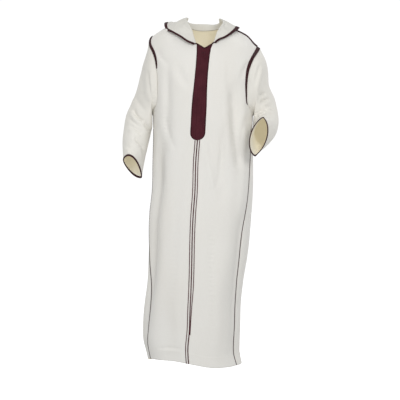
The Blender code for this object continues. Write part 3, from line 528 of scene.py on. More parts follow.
# share of the half width, shade: the braid's outer rib on each side is the darkest
braidBands = {"half": 0.03, "shades": [(0.0, 0.94), (0.16, 1.0), (0.3, 0.84), (0.46, 1.0), (0.62, 0.86),
                                       (0.78, 1.0), (0.84, 0.6), (1.0, 0.64)]}
# hollow: how much of the colour the painted shade leaves in the strands' hollows
rayon = {"sheenTint": (1.0, 0.8, 0.84, 1.0), "specular": 0.08, "strandScale": 1500.0, "strandStretch": 0.12,
         "toneScale": 24.0, "strandShare": 0.6, "hollow": 0.62, "bump": 0.7, "height": 0.0005}


def braidFinish(name, colour, light, rib, roughness, sheen, bands=None):
    # twisted rayon: slanting strands with a soft shine, painted shade in the hollows between strands, and
    # darker lengthwise bands
    finish, tree, shader = newFinish(name, roughness, sheen, rayon["sheenTint"], rayon["specular"])
    uv = addNode(tree, "UVMap")
    strands = noiseAt(tree, stretched(tree, uv, (1.0, rayon["strandStretch"], 1.0)), rayon["strandScale"])
    tone = noiseAt(tree, addNode(tree, "TexCoord", output="Object"), rayon["toneScale"])
    share = rayon["strandShare"]
    blended = mathNode(tree, "ADD", times(tree, strands, share), times(tree, tone, 1 - share))
    dyed = ramp(tree, blended, [(0.32, colour), (0.72, light)])
    across, along = addNode(tree, "SeparateXYZ", {0: uv}).node.outputs[:2]
    if bands:
        fromMiddle = times(tree, mathNode(tree, "ABSOLUTE", across), 1 / bands["half"])
        stops = [(stop, grey(shade)) for stop, shade in bands["shades"]]
        dyed = shaded(tree, dyed, ramp(tree, fromMiddle, stops))
    # strands slant one way and then the other from rib to rib
    turned = mathNode(tree, "PINGPONG", times(tree, across, 1 / rib[0]), 1.0)
    slant = mathNode(tree, "ADD", times(tree, along, 1 / rib[1]), turned)
    wave = mathNode(tree, "SINE", times(tree, slant, 2 * math.pi))
    level = times(tree, mathNode(tree, "ADD", wave, 1.0), 0.5)
    # painted shade: the colour darkens where the strand wave dips, in the hollows of the bump
    hollow = ramp(tree, level, [(0.0, grey(rayon["hollow"])), (0.55, grey(1.0))])
    tree.links.new(shaded(tree, dyed, hollow), shader.inputs["Base Color"])
    raised(tree, shader, mathNode(tree, "MULTIPLY_ADD", strands, 0.4, wave), rayon["bump"], rayon["height"])
    return finish


creamCloth = wovenFinish("creamCloth", (0.806, 0.792, 0.757, 1), (0.786, 0.766, 0.72, 1))
# painted warm shade: the sleeves are the same cream cloth made a little yellower, for the warm tint of their
# shaded folds
warmShadedSleeveFinish = wovenFinish("paintedWarmShadeSleeveCloth", (0.8, 0.782, 0.735, 1), (0.775, 0.75, 0.69, 1))
# painted shade: the hood is the same cream cloth made darker, for the shade it lies in
paintedShadeHoodFinish = wovenFinish("paintedShadeHoodCloth", (0.71, 0.698, 0.655, 1), (0.68, 0.662, 0.605, 1))
# painted light: the wrong side is a yellower cream than the right side, for the daylight that comes through
# the thin cloth
paintedGlowWrongSide = wovenFinish("creamWrongSidePaintedGlow", (0.78, 0.745, 0.64, 1), (0.75, 0.705, 0.585, 1), 0.88, 0.1)
# painted glow: the thin cloth lets some daylight through to its wrong side, and this is painted as a warm
# glow
setInputs(paintedGlowWrongSide.node_tree.nodes["Principled BSDF"],
          {"Emission Color": (1.0, 0.93, 0.72, 1), "Emission Strength": 0.14})
burgundyBraid = braidFinish("burgundyBraid", (0.058, 0.01, 0.0165, 1), (0.112, 0.0235, 0.034, 1),
                            (0.0054, 0.0036), 0.56, 0.05, braidBands)
cordBraid = braidFinish("burgundyCord", (0.06, 0.012, 0.019, 1), (0.13, 0.034, 0.048, 1),
                        (0.0034, 0.0042), 0.56, 0.08)
darkBraid = braidFinish("darkBurgundyBraid", (0.031, 0.0088, 0.0108, 1), (0.068, 0.0215, 0.0255, 1),
                        (0.0034, 0.0042), 0.54, 0.06)
creamThread = wovenFinish("creamThread", (0.74, 0.72, 0.65, 1), (0.7, 0.675, 0.6, 1), 0.6, 0.3)
print("robe: finishes made")

# in millimetres: start x, z; middle x, z; end x, z; half width; depth; then -1 for the front, 1 for the back
panelCreases = [
    (-196, -1318, -145, -1310, -93, -1313, 6, 2.4, -1), (12, -390, 30, -520, 52, -655, 12, 5.2, -1),
    (78, -395, 70, -520, 50, -660, 11, 5, -1), (36, -420, 44, -500, 48, -600, 8.5, 2.6, -1),
    (-165, -350, -150, -420, -118, -500, 10, 3, -1), (176, -345, 156, -430, 140, -560, 10, 3.6, -1),
    (-150, -105, -158, -300, -170, -520, 13, 4.2, -1), (-109, -140, -94, -190, -66, -235, 14, 4, -1),
    (106, -215, 122, -360, 130, -580, 19, 7.6, -1), (88, -110, 98, -170, 94, -260, 12, 2.6, -1),
    (-196, -70, -176, -110, -150, -140, 9, 2.2, -1), (194, -118, 170, -150, 148, -205, 9.5, 2.6, -1),
    (-105, -620, -118, -860, -122, -1130, 17, 1.8, -1), (-88, -960, -98, -1120, -96, -1290, 13, 1.6, -1),
    (34, -760, 30, -1020, 40, -1300, 16, 3.6, -1), (-120, -105, -85, -220, -60, -360, 13, 4, 1),
    (120, -115, 90, -240, 55, -370, 12, 3.8, 1), (-180, -330, -120, -410, -70, -440, 11, 4.4, 1),
    (165, -330, 110, -400, 60, -450, 10, 4, 1), (-150, -420, -100, -500, -40, -530, 12, 3.4, 1),
    (-20, -620, 10, -860, 4, -1120, 13, 4.4, 1), (90, -700, 78, -900, 84, -1160, 12, 3.2, 1),
]


def seamDip(fromSeam):
    # the cloth dips where it is sewn to its neighbour
    return robe["seamDip"] * bell(fromSeam, robe["seamDipWidth"])


def hemRise(toHem):
    # the turned hem is doubled, so it stands a little higher
    return robe["hemStep"] * (1 - ease((toHem - robe["hemDepth"]) / robe["hemFade"]))


def dressedGrid(shares, back):
    # a panel with its creases, ripple and turned hem; the trims lie on these points
    points = panelPoints(shares, back)
    topX = points[0, :, 0]
    onRidge = (np.abs(topX) >= robe["neckHalf"])[:, None]

    def normalsOf(grid):
        normals = facing(grid)
        normals[0] = np.where(onRidge, ridgeUp(topX), normals[0])
        return normals

    normals = normalsOf(points)
    fromTop = pathLengths(points)
    toHem = fromLast(fromTop)
    calm = ease(fromTop / robe["calmTop"]) * ease(fromSides(points) / robe["calmSide"])
    rise = (creaseRise(points, normals, panelCreases) + ripple(points, robe["ripple"])) * calm
    points = points + normals * (rise + hemRise(toHem))[..., None]
    return (points, normalsOf(points)), toHem


def boundCloth(points, normalsOf, creases, look, startNormals):
    # a sleeve or the hood with its creases: sewn on at the first row, bound along the last one
    length = pathLengths(points)
    calm = ease(length / look["calmSeam"]) * ease(fromLast(length) / look["calmEdge"])
    rise = (creases + ripple(points, look["ripple"])) * calm - seamDip(length)
    points = points + normalsOf(points) * rise[..., None]
    normals = normalsOf(points)
    normals[0] = startNormals
    along = unit(points[-1] - points[-2])
    normals[-1] = unit(normals[-1] - along * (normals[-1] * along).sum(axis=-1, keepdims=True))
    return points, normals


def trimmedEdges(points, gaps):
    # pull the side and top edges back by their seam gaps: first column, last column, top
    out = points.copy()
    out[:, 0] += unit(points[:, 1] - points[:, 0]) * gaps[0]
    out[:, -1] += unit(points[:, -2] - points[:, -1]) * gaps[1]
    out[0] += unit(out[1] - out[0]) * gaps[2]
    return out


def makePanel(name, node, points, normals, gaps, seams):
    # seams say whether the first and the last column are sewn to a neighbour
    across = alongRows(points)
    fromSeams = [away for away, sewn in zip((across, across[:, -1:] - across), seams) if sewn]
    dip = sum(seamDip(away) for away in fromSeams)
    shaped = trimmedEdges(points, gaps) - normals * dip[..., None]
    piece = clothPiece(name, shaped, normals, robe["cloth"])
    return dress(piece, (creamCloth, paintedGlowWrongSide), node)


bothSides = ("right", "left")
half = robe["halfColumns"]
gap = robe["seamGap"]
evenShares = np.arange(-half, half + 1) / half
frontGrid, frontToHem = dressedGrid(evenShares, back=False)
backGrid, backToHem = dressedGrid(evenShares, back=True)
frontPoints = frontGrid[0]
backPoints = backGrid[0]
frontRight = makePanel("frontRight", "front_right", *[part[:, :half + 1] for part in frontGrid],
                       (gap, gap / 2, gap), (True, False))
frontLeft = makePanel("frontLeft", "front_left", *[part[:, half:] for part in frontGrid],
                      (gap / 2, gap, gap), (False, True))
backPanel = makePanel("backPanel", "back", *backGrid, (gap, gap, gap), (True, True))
print("robe: fronts and back made")

gusset = {"columns": 24, "ripple": 0.0007}


def makeGusset(side):
    z = np.concatenate([[robe["underarmZ"] - gap], skirtLevels()])
    seams = smoothAt(gussetSeams, z)
    front, back = seams[2:] if side == "left" else seams[:2]
    angle = front[:, None] + (back - front)[:, None] * np.linspace(0, 1, gusset["columns"] + 1)
    points = bodyPoint(angle, hemmedZ(angle, np.broadcast_to(z[:, None], angle.shape)))
    if side == "right":
        points = points[:, ::-1]
    toHem = fromLast(pathLengths(points))
    rise = ripple(points, gusset["ripple"]) * ease(fromSides(points) / robe["calmSide"]) + hemRise(toHem)
    points = points + facing(points) * rise[..., None]
    grid = (points, facing(points))
    name = "sidePanel" + side.capitalize()
    return makePanel(name, "side_panel_" + side, *grid, (gap, gap, 0.0), (True, True)), grid


sidePanelRight, rightGusset = makeGusset("right")
sidePanelLeft, leftGusset = makeGusset("left")
print("robe: side gussets made")

sleeve = {
    "rows": 132, "columns": 150, "gap": 0.0004, "ripple": 0.001, "calmSeam": 0.03, "calmEdge": 0.025,
    # at the cuff: how pointed the ring is, how far its far side keeps the slope
    "pointed": 0.35, "farSide": {"right": 0.35, "left": 1.0},
    # in millimetres: inner point, outer point, step to the front side
    "right": [
        (-229, 6, -334, -262, 0, -125, 18, -86, 0), (-226.5, 12, -372, -282, 12, -208, 18, -76, 0),
        (-228, 8, -400, -310, 20, -277, 20, -70, 0), (-233, -2, -432, -334, 12, -333, 12, -62, 12),
        (-241, -18, -475, -342, -10, -393, 10, -58, 18), (-251, -30, -525, -346, -45, -455, 12, -57, 29),
        (-264.2, -40, -597.5, -340, -90, -528.1, 9.2, -54, 43.2),
    ],
    "left": [
        (217, 6, -338, 263, 0, -108, -20, -90, 0), (213, 12, -368, 275, 12, -205, -20, -80, 0),
        (211.5, 10, -395, 300, 18, -262, -22, -74, 10), (210.5, -12, -414, 313.5, 5, -325, -20, -66, 28),
        (206, -60, -428, 312, -35, -370, -14, -50, 50), (204, -118, -430, 296, -88, -404, -4, -36, 56),
        (185, -196, -442, 259, -158, -438, 15, -15, 75.5),
    ],
}

# as panelCreases
sleeveCreases = [
    # the right arm hangs: slanting pinches over the forearm, and softer ones behind
    (-299, -313, -285, -349, -247, -370, 6.6, 10, -1), (-254, -371, -240, -394, -225, -414, 8, 8.6, -1),
    (-318, -384, -290, -400, -260, -424, 7.5, 5.2, -1), (-291, -437, -273, -460, -248, -483, 7, 9.2, -1),
    (-265, -478, -256, -500, -250, -530, 6, 6, -1), (-318, -350, -300, -372, -270, -392, 6, 3, -1),
    (-238, -155, -235, -212, -221, -285, 7.5, 7, -1), (-325, -470, -305, -492, -280, -512, 7, 3.4, -1),
    (-272, -130, -260, -180, -252, -240, 13, 3.6, -1), (-300, -245, -278, -290, -248, -325, 9, 3.2, -1),
    (-310, -300, -270, -330, -238, -385, 9, 5, 1), (-325, -395, -290, -430, -255, -470, 8, 4.6, 1),
    (-250, -150, -238, -220, -230, -300, 10, 4.4, 1),
    # the left arm is bent: a fan of pinches from the inner elbow
    (232, -262, 244, -255, 262, -250, 6.2, 6.2, -1), (234, -292, 252, -282, 278, -272, 6.2, 6.6, -1),
    (215, -346, 232, -330, 270, -312, 6, 6.4, -1), (256, -305, 276, -310, 292, -322, 5.2, 4.2, -1),
    (234.7, -128, 223, -172, 209, -225, 9, 5.6, -1), (260, -140, 250, -190, 244, -240, 10, 3.4, -1),
    (226, -372, 245, -360, 280, -360, 6.5, 3.8, -1), (215, -310, 250, -300, 290, -310, 8.5, 5, 1),
    (215, -250, 245, -255, 278, -285, 8.5, 4.2, 1), (240, -110, 230, -170, 220, -240, 10, 4.2, 1),
]


def catmull(stations, s):
    # a smooth path through the stations
    last = len(stations) - 1
    i = min(int(s), last - 1)
    t = s - i
    p0, p1 = stations[max(i - 1, 0)], stations[i]
    p2, p3 = stations[i + 1], stations[min(i + 2, last)]
    return 0.5 * (2 * p1 + (p2 - p0) * t + (2 * p0 - 5 * p1 + 4 * p2 - p3) * t * t
                  + (3 * p1 - p0 - 3 * p2 + p3) * t**3)


def armholeLoop(left):
    # the armhole up the front, down the back and under the arm, with its directions
    column, behind = (-1, 0) if left else (0, -1)
    yoke = robe["yokeRows"]
    seams = smoothAt(gussetSeams, robe["underarmZ"])
    middle = sum(seams[2:] if left else seams[:2]) / 2
    under = (bodyPoint(middle, robe["underarmZ"]), bodyNormal(middle, robe["underarmZ"]))
    return [np.concatenate([foot[None, :], front[yoke::-1, column], back[1:yoke + 1, behind]])
            for foot, front, back in zip(under, frontGrid, backGrid)]


def outwardNormals(points):
    # directions straight off a tube
    normals = facing(points, around=True)
    return normals * np.sign(np.dot(normals[-1, 0], points[-1, 0] - points[-1].mean(axis=0)))


def sleevePoints(side):
    loop, loopNormals = armholeLoop(side == "left")
    places = evenPlaces(loop, sleeve["columns"], closed=True)
    loopNormals = unit(alongPath(loopNormals, places, closed=True))
    loop = alongPath(loop, places, closed=True)
    turns = 2 * math.pi * np.arange(len(loop)) / len(loop)
    rings = []
    for number, row in enumerate(sleeve[side]):
        inner, outer, fore = np.reshape(row, (3, 3)) / 1000
        toCuff = (number / (len(sleeve[side]) - 1))**3
        power = 1 + sleeve["pointed"] * toCuff
        across = signedPower(np.cos(turns), power if side == "left" else 1.0)[:, None]
        foreward = signedPower(np.sin(turns), 1.0 if side == "left" else power)[:, None]
        ring = (inner + outer) / 2 - across * (outer - inner) / 2 + foreward * fore
        ring[:, 2] += np.maximum(-foreward[:, 0], 0) * fore[2] * (1 - sleeve["farSide"][side]) * toCuff
        rings.append(ring)
    stations = [loop + unit(rings[0] - loop) * sleeve["gap"]] + rings
    last = len(stations) - 1
    points = np.array([catmull(stations, last * k / sleeve["rows"]) for k in range(sleeve["rows"] + 1)])
    if side == "right":
        return points[:, ::-1], loopNormals[::-1]
    return points, loopNormals


def makeSleeve(side):
    points, loopNormals = sleevePoints(side)
    creases = creaseRise(points, outwardNormals(points), sleeveCreases)
    grid = boundCloth(points, outwardNormals, creases, sleeve, loopNormals)
    piece = clothPiece("sleeve" + side.capitalize(), *grid, robe["cloth"], around=True)
    return dress(piece, (warmShadedSleeveFinish, paintedGlowWrongSide), "sleeve_" + side), grid


sleeveRight, rightSleeveGrid = makeSleeve("right")
sleeveLeft, leftSleeveGrid = makeSleeve("left")
print("robe: sleeves made")

hood = {
    "lift": 0.0008, "wallDrop": 0.12, "drop": 0.24, "fullness": 0.36, "startX": 0.048, "clear": 0.007,
    "rows": 104, "columns": 150, "ripple": 0.0008, "calmSeam": 0.02, "calmEdge": 0.015,
    "creaseFade": 0.22, "ridge": 0.6, "rimGrowth": 1.5,
    # the wall and foot lines between crest and edge, and how the pouch gathers towards the middle
    "wallShare": 0.36, "footShare": 0.7, "wallAcross": 0.55, "narrowing": 0.35,
    "pouchStart": 0.42, "pouchReach": 0.56, "wallPower": 1.5, "footPower": 2.4, "turnPower": 1.8,
    # share along the neckline; x, y, z of the face edge in millimetres
    "edge": [
        (0, -36, -126, -52), (0.06, -68, -130, -40), (0.12, -97, -127, -20), (0.18, -130, -110, 1),
        (0.235, -151, -78, 19), (0.285, -157, -30, 45), (0.325, -152, 22, 63), (0.36, -137, 68, 60),
        (0.4, -116, 128, 22), (0.448, -74, 188, -8), (0.5, 0, 226, -34), (0.552, 68, 190, -10),
        (0.6, 107, 132, 14), (0.64, 125, 80, 32), (0.675, 131, 25, 40), (0.715, 132, -30, 36),
        (0.765, 122, -78, 16), (0.82, 102, -108, -6), (0.88, 81, -122, -22), (0.94, 58, -127, -32),
        (1, 37, -126, -48),
    ],
    # share along the neckline; how far the crest leans out and its rise, in millimetres
    "crest": [
        (0, 5.4, 9), (0.12, 4.5, 11), (0.2, -2, 16), (0.28, -9, 23), (0.345, 8, 24), (0.4, 14.4, 24),
        (0.5, 14.4, 24), (0.6, 14.4, 24), (0.655, 6, 28), (0.71, -14, 36), (0.79, -3, 24), (0.88, 4, 13),
        (1, 5.4, 9),
    ],
    # place along the edge, place down the strip, slant, half width, depth
    "creases": [
        (0.2, 0.58, 0.12, 0.02, 0.0042), (0.27, 0.5, -0.08, 0.019, 0.0048),
        (0.13, 0.7, 0.05, 0.018, 0.0018), (0.79, 0.56, -0.11, 0.019, 0.0042),
        (0.71, 0.5, 0.07, 0.02, 0.0046), (0.87, 0.66, -0.04, 0.018, 0.002),
        (0.43, 0.72, 0.02, 0.016, 0.004), (0.57, 0.7, -0.02, 0.017, 0.0038),
        (0.5, 0.8, 0.01, 0.02, 0.003),
    ],
}


def columnAtX(points, x):
    # column numbers along a panel's top edge, whichever way its columns run
    xs = points[0, :, 0]
    index = np.arange(len(xs))
    if xs[0] > xs[-1]:
        xs = xs[::-1]
        index = index[::-1]
    return np.interp(x, xs, index)


def topEdge(points, firstX, lastX, count):
    return np.linspace(columnAtX(points, firstX), columnAtX(points, lastX), count)


def neckline():
    # places just above the neckline from the right front corner round to the left one
    start, side = hood["startX"], robe["neckHalf"]
    stretches = [(frontGrid, topEdge(frontPoints, -start, -side, 14)),
                 (backGrid, topEdge(backPoints, -side, side, 60)[1:-1]),
                 (frontGrid, topEdge(frontPoints, side, start, 14))]
    path = np.concatenate([np.concatenate(onGrid(grid, 0, columns), axis=1) for grid, columns in stretches])
    path[:, 2] += hood["lift"]
    places = evenPlaces(path[:, :3], hood["columns"])
    even = alongPath(path, places)
    return even[:, :3], unit(even[:, 3:]), np.linspace(0, 1, hood["columns"] + 1)


def bodyField(points):
    # 1 on the body's plain face, more outside it
    x, y, z = points[..., 0], points[..., 1], points[..., 2]
    level = np.minimum(z, robe["upperLevel"])
    middleX, halfWidth, middleY, front, behind = smoothAt(bodySections, level)
    power = robe["squareness"]
    share = np.minimum(np.abs(x - middleX) / halfWidth, 0.97)
    depth = np.where(y > middleY, behind, front) * np.maximum(1 - share**power, 0.01)**(1 / power)
    return ((y - middleY) / depth)**2 + (1 - np.minimum(shoulderDrop(x, z), 1.0))**2


def bodyClearance(points):
    # distance out from the body's face, and the direction straight away from it
    step = 0.001
    slope = [(bodyField(points + d) - bodyField(points - d)) / (2 * step) for d in np.eye(3) * step]
    slope = np.stack(slope, axis=-1)
    steep = np.maximum(np.linalg.norm(slope, axis=-1), 1e-6)
    return (bodyField(points) - 1) / steep, slope / steep[..., None]


def clearOfBody(points, clear):
    for _ in range(8):
        distance, away = bodyClearance(points)
        points = points + away * np.maximum(clear - distance, 0.0)[..., None]
    return points


def behindBody(x, z):
    level = np.minimum(z, ridgeAt(x) - 0.0005)
    return bodyPoint(angleOfX(x, level, True), level)[..., 1]


def hoodLines(shares, starts):
    # five lines along the hood: seam, crest, near wall, foot and face edge
    edge = np.stack(smoothAt(hood["edge"], shares), axis=-1) / 1000
    lean, rise = smoothAt(hood["crest"], shares)
    crest = starts + unit(starts * np.array((1.0, 1.0, 0.0))) * lean[:, None] / 1000
    crest[:, 2] += rise / 1000
    toMiddle = 1 - np.abs(shares - 0.5) / 0.5
    pouch = ease((toMiddle - hood["pouchStart"]) / hood["pouchReach"])
    wallX = crest[:, 0] + (edge[:, 0] - crest[:, 0]) * hood["wallAcross"]
    wallZ = (crest[:, 2] + edge[:, 2]) / 2 - hood["wallDrop"] * pouch**hood["wallPower"]
    wallY = behindBody(wallX, wallZ) + hood["clear"]
    footX = edge[:, 0] * (1 - hood["narrowing"] * pouch)
    footZ = edge[:, 2] - hood["drop"] * pouch**hood["footPower"]
    standoff = edge[:, 1] - behindBody(edge[:, 0], edge[:, 2])
    footY = behindBody(footX, footZ) + hood["clear"] + hood["fullness"] * standoff
    turn = (pouch**hood["turnPower"])[:, None]
    lines = [starts, crest]
    stations = [(hood["wallShare"], wallX, wallY, wallZ), (hood["footShare"], footX, footY, footZ)]
    for share, *behind in stations:
        line = (crest + (edge - crest) * share) * (1 - turn) + np.stack(behind, axis=-1) * turn
        lines.append(clearOfBody(line, hood["clear"]))
    return lines + [edge]


def hoodNormals(points):
    normals = facing(points)
    return normals * np.sign(normals[-2, hood["columns"] // 2, 1])


def makeHood():
    starts, directions, shares = neckline()
    lines = hoodLines(shares, starts)
    last = len(lines) - 1
    rim = np.maximum(bodyClearance(lines[-1])[0] - hood["clear"], 0.0)
    rows = []
    for k in range(hood["rows"] + 1):
        place = last * k / hood["rows"]
        row = catmull(lines, place)
        hanging = (place - 2) / (last - 2)
        if 0 < hanging < 1:
            row = clearOfBody(row, hood["clear"] + rim * min(1.0, hanging * hood["rimGrowth"]))
        rows.append(row)
    points = np.array(rows)
    down = np.linspace(0, 1, hood["rows"] + 1)[:, None]
    creases = 0.0
    for along, centre, slant, width, depth in hood["creases"]:
        off = shares - along - slant * (down - centre)
        creases = creases + depth * bell(down - centre, hood["creaseFade"]) * pinch(off, width, hood["ridge"])
    grid = boundCloth(points, hoodNormals, creases, hood, directions)
    # columns run from the right to the left, so the shell is made on the turned grid
    piece = clothPiece("hoodCloth", *[part[:, ::-1] for part in grid], robe["cloth"])
    return dress(piece, (paintedShadeHoodFinish, paintedShadeHoodFinish), "hood"), grid


hoodPiece, hoodGrid = makeHood()
print("robe: hood made")

plaiting = {"slant": 0.8, "roundness": 0.85, "strandDepth": 0.38, "endLength": 0.0012, "lift": 0.0002,
            "crownPower": 6}


def plait(across, along, ribs, pitch):
    # height of a flat braid, 0 to 1: ribs side by side, each of slanting strands that meet in a V
    place = (across * 0.5 + 0.5) * ribs
    inRib = place - np.floor(place) - 0.5
    hand = np.where(np.floor(place) % 2 == 0, 1.0, -1.0)
    strand = np.abs(np.sin(math.pi * (along / pitch + hand * inRib * plaiting["slant"])))
    rib = np.sqrt(np.clip(1 - (2 * inRib)**2 * plaiting["roundness"], 0, 1))
    return rib * (1 - plaiting["strandDepth"] * (1 - strand))


def makeBraid(name, node, grid, width, look, finish=darkBraid):
    # a braid over a grid of points that lie on the cloth, with its edges tucked down to it
    points, normals = grid
    rows, columns = points.shape[:2]
    across = np.linspace(-1, 1, columns)[None, :]
    along = pathLengths(points[:, columns // 2])[:, None]
    crown = np.sqrt(np.clip(1 - np.abs(across)**plaiting["crownPower"], 0, 1))
    hollow = 1 - plait(across, along, look["ribs"], look["pitch"])
    height = crown * (look["thickness"] - look["relief"] * hollow)
    ends = np.minimum(along, along[-1] - along) / plaiting["endLength"]
    height = look.get("lift", plaiting["lift"]) + height * np.sqrt(ease(ends))
    verts = (points + normals * height[..., None]).reshape(-1, 3)
    flat = np.stack(np.broadcast_arrays(across * width / 2, along), axis=-1).reshape(-1, 2)
    probe = np.cross(verts[columns] - verts[0], verts[1] - verts[0])
    faces = gridFaces(numberGrid(rows, columns), turned=np.dot(probe, normals[0, 0]) > 0)
    return dress(meshPiece(name, verts, faces, flat), (finish,), node)


bound = {"sides": 18, "squareness": 0.8, "swell": 0.22, "spread": 0.03, "slant": 2.0, "level": 0.6}


def makeBound(name, node, edge, outward, normals, width, thickness, wall, closed, pitch):
    # a braid folded over a raw edge: a flattened round section with slanting strands
    rows, sides = len(edge), bound["sides"]
    width = np.broadcast_to(width, rows)[:, None]
    along = pathLengths(looped(edge, closed))[:rows, None]
    turns = 2 * math.pi * np.arange(sides) / sides
    centre = edge + outward * (width / 2) - normals * (wall / 2)
    strand = np.abs(np.sin(math.pi * along / pitch + bound["slant"] * np.cos(turns))) - bound["level"]
    reach = signedPower(np.cos(turns), bound["squareness"]) * width / 2 * (1 + bound["spread"] * strand)
    depth = signedPower(np.sin(turns), bound["squareness"]) * thickness / 2 * (1 + bound["swell"] * strand)
    points = centre[:, None] + outward[:, None] * reach[..., None] + normals[:, None] * depth[..., None]
    verts = points.reshape(-1, 3)
    flat = np.stack(np.broadcast_arrays(turns * width / math.pi, along), axis=-1).reshape(-1, 2)
    caps = []
    if not closed:
        verts = np.concatenate([verts, centre[[0, -1]]])
        flat = np.concatenate([flat, np.zeros((2, 2))])
        hub, last = rows * sides, (rows - 1) * sides
        caps = [(hub, (k + 1) % sides, k) for k in range(sides)]
        caps += [(hub + 1, last + k, last + (k + 1) % sides) for k in range(sides)]
    faces = gridFaces(numberGrid(rows, sides, around=True, closed=closed))
    return dress(meshPiece(name, verts, faces, flat, caps=caps), (darkBraid,), node)


def rowAtZ(points, z, column):
    return float(np.interp(-z, -points[:, column, 2], np.arange(len(points))))


def stripOn(grid, measure, rows, near, far, columns):
    # a grid of points and directions on a piece, between two measures across each row
    places = []
    for row, low, high in zip(rows, np.broadcast_to(near, len(rows)), np.broadcast_to(far, len(rows))):
        r = min(int(row), len(measure) - 2)
        lengths = measure[r] * (1 - (row - r)) + measure[r + 1] * (row - r)
        index = np.arange(len(lengths))
        if lengths[0] > lengths[-1]:
            lengths = lengths[::-1]
            index = index[::-1]
        places.append(np.interp(np.linspace(low, high, columns), lengths, index))
    return onGrid(grid, rows[:, None], np.array(places))


def edgeStrip(grid, rows, atEnd, near, far, columns):
    # a strip between two distances from a panel's side edge
    width = alongRows(grid[0])
    return stripOn(grid, width[:, -1:] - width if atEnd else width, rows, near, far, columns)


fromCentre = alongRows(frontPoints)
fromCentre = fromCentre - fromCentre[:, half:half + 1]
placket = {
    "half": 0.0313, "bottomZ": -0.455, "thickness": 0.0024, "relief": 0.0011,
    "ribs": 11, "pitch": 0.0042, "columns": 78, "spacing": 0.001, "roundEnd": 0.97,
    # distance from the top, how much wider to the right side, to the left side
    "flare": [(0.0, 0.007, 0.0135), (0.006, 0.005, 0.0085), (0.014, 0.0035, 0.0045), (0.03, 0.0022, 0.0028),
              (0.07, 0.0006, 0.001), (0.12, 0.0, 0.0)],
}


def makePlacket():
    foot = rowAtZ(frontPoints, placket["bottomZ"], half)
    centreLine = frontPoints[:int(foot) + 2, half]
    rows = resampled(centreLine, placket["spacing"])
    rows = rows[rows < foot]
    fromTop = pathLengths(alongPath(centreLine, rows))
    turn = np.clip(1 - (fromTop[-1] - fromTop) / placket["half"], 0, 1)
    reach = placket["half"] * np.sqrt(1 - placket["roundEnd"] * turn**2)
    toRight, toLeft = smoothAt(placket["flare"], fromTop)
    strip = stripOn(frontGrid, fromCentre, rows, -reach - toRight, reach + toLeft, placket["columns"])
    return makeBraid("placketBraid", "placket", strip, 2 * placket["half"], placket,
                     burgundyBraid)


placketPiece = makePlacket()

cords = {"width": 0.0034, "centreWidth": 0.0044, "apart": 0.0095, "thickness": 0.0016, "relief": 0.0005,
         "ribs": 2, "pitch": 0.0034, "spacing": 0.0011, "columns": 9, "underPlacket": 0.002,
         # the left cord runs in to the middle one: its last level, how far in, from which share, over what
         "joinZ": -1.255, "joinIn": 0.6, "joinStart": 0.72, "joinShare": 0.26}


def makeFrontCord(place, side):
    start = rowAtZ(frontPoints, placket["bottomZ"] + cords["underPlacket"], half)
    end = rowAtZ(frontPoints, cords["joinZ"], half) if side > 0 else len(frontPoints) - 1.0
    rows = resampled(frontPoints[:, half], cords["spacing"])
    rows = rows[(rows >= start) & (rows <= end)]
    offset = np.full(len(rows), side * cords["apart"])
    if side > 0:
        share = (rows - rows[0]) / (rows[-1] - rows[0])
        offset = offset * (1 - cords["joinIn"] * ease((share - cords["joinStart"]) / cords["joinShare"]))
    width = cords["width"] if side else cords["centreWidth"]
    strip = stripOn(frontGrid, fromCentre, rows, offset - width / 2, offset + width / 2, cords["columns"])
    return makeBraid("cord" + place.capitalize(), "cord_" + place, strip, width, cords, cordBraid)


cordRight, cordCentre, cordLeft = [
    makeFrontCord(place, side) for place, side in (("right", -1), ("centre", 0), ("left", 1))]
print("robe: placket and front cords made")

sideCord = {
    "width": 0.0028, "inset": 0.0012, "thickness": 0.0015, "relief": 0.0005, "ribs": 2, "pitch": 0.003,
    "lift": 0.0001, "spacing": 0.0012, "columns": 8, "firstRow": robe["yokeRows"] + 14,
}


def makeSideCord(face, side):
    grid = frontGrid if face == "front" else backGrid
    atEnd = (face == "front") == (side == "left")
    rows = resampled(grid[0][:, -1 if atEnd else 0], sideCord["spacing"])
    rows = rows[rows > sideCord["firstRow"]]
    far = sideCord["inset"] + sideCord["width"]
    strip = edgeStrip(grid, rows, atEnd, sideCord["inset"], far, sideCord["columns"])
    name = "sideCord" + face.capitalize() + side.capitalize()
    return makeBraid(name, "side_cord_" + face + "_" + side, strip, sideCord["width"], sideCord)


sideCords = [makeSideCord(face, side) for face in ("front", "back") for side in bothSides]

armTrim = {
    "inset": 0.0006, "thickness": 0.0027, "relief": 0.0013, "ribs": 2, "pitch": 0.0078,
    "spacing": 0.001, "columns": 25, "widthFade": 20.0,
    # level, width
    "left": [(-0.056, 0.0185), (-0.12, 0.0165), (-0.2, 0.0125), (-0.26, 0.0085), (-0.302, 0.005)],
    "right": [(-0.008, 0.0125), (-0.06, 0.014), (-0.11, 0.012), (-0.135, 0.0085), (-0.152, 0.0045)],
    "behind": [(-0.008, 0.012), (-0.1, 0.0125), (-0.2, 0.011), (-0.3, 0.007)],
}


def armholeRows(line, table):
    # rows down an armhole's edge as far as the braid goes, with its width at each
    rows = resampled(line, armTrim["spacing"])
    level = alongPath(line, rows)[:, 2]
    within = level > table[-1][0]
    return rows[within], smoothAt(table, level[within])[0]


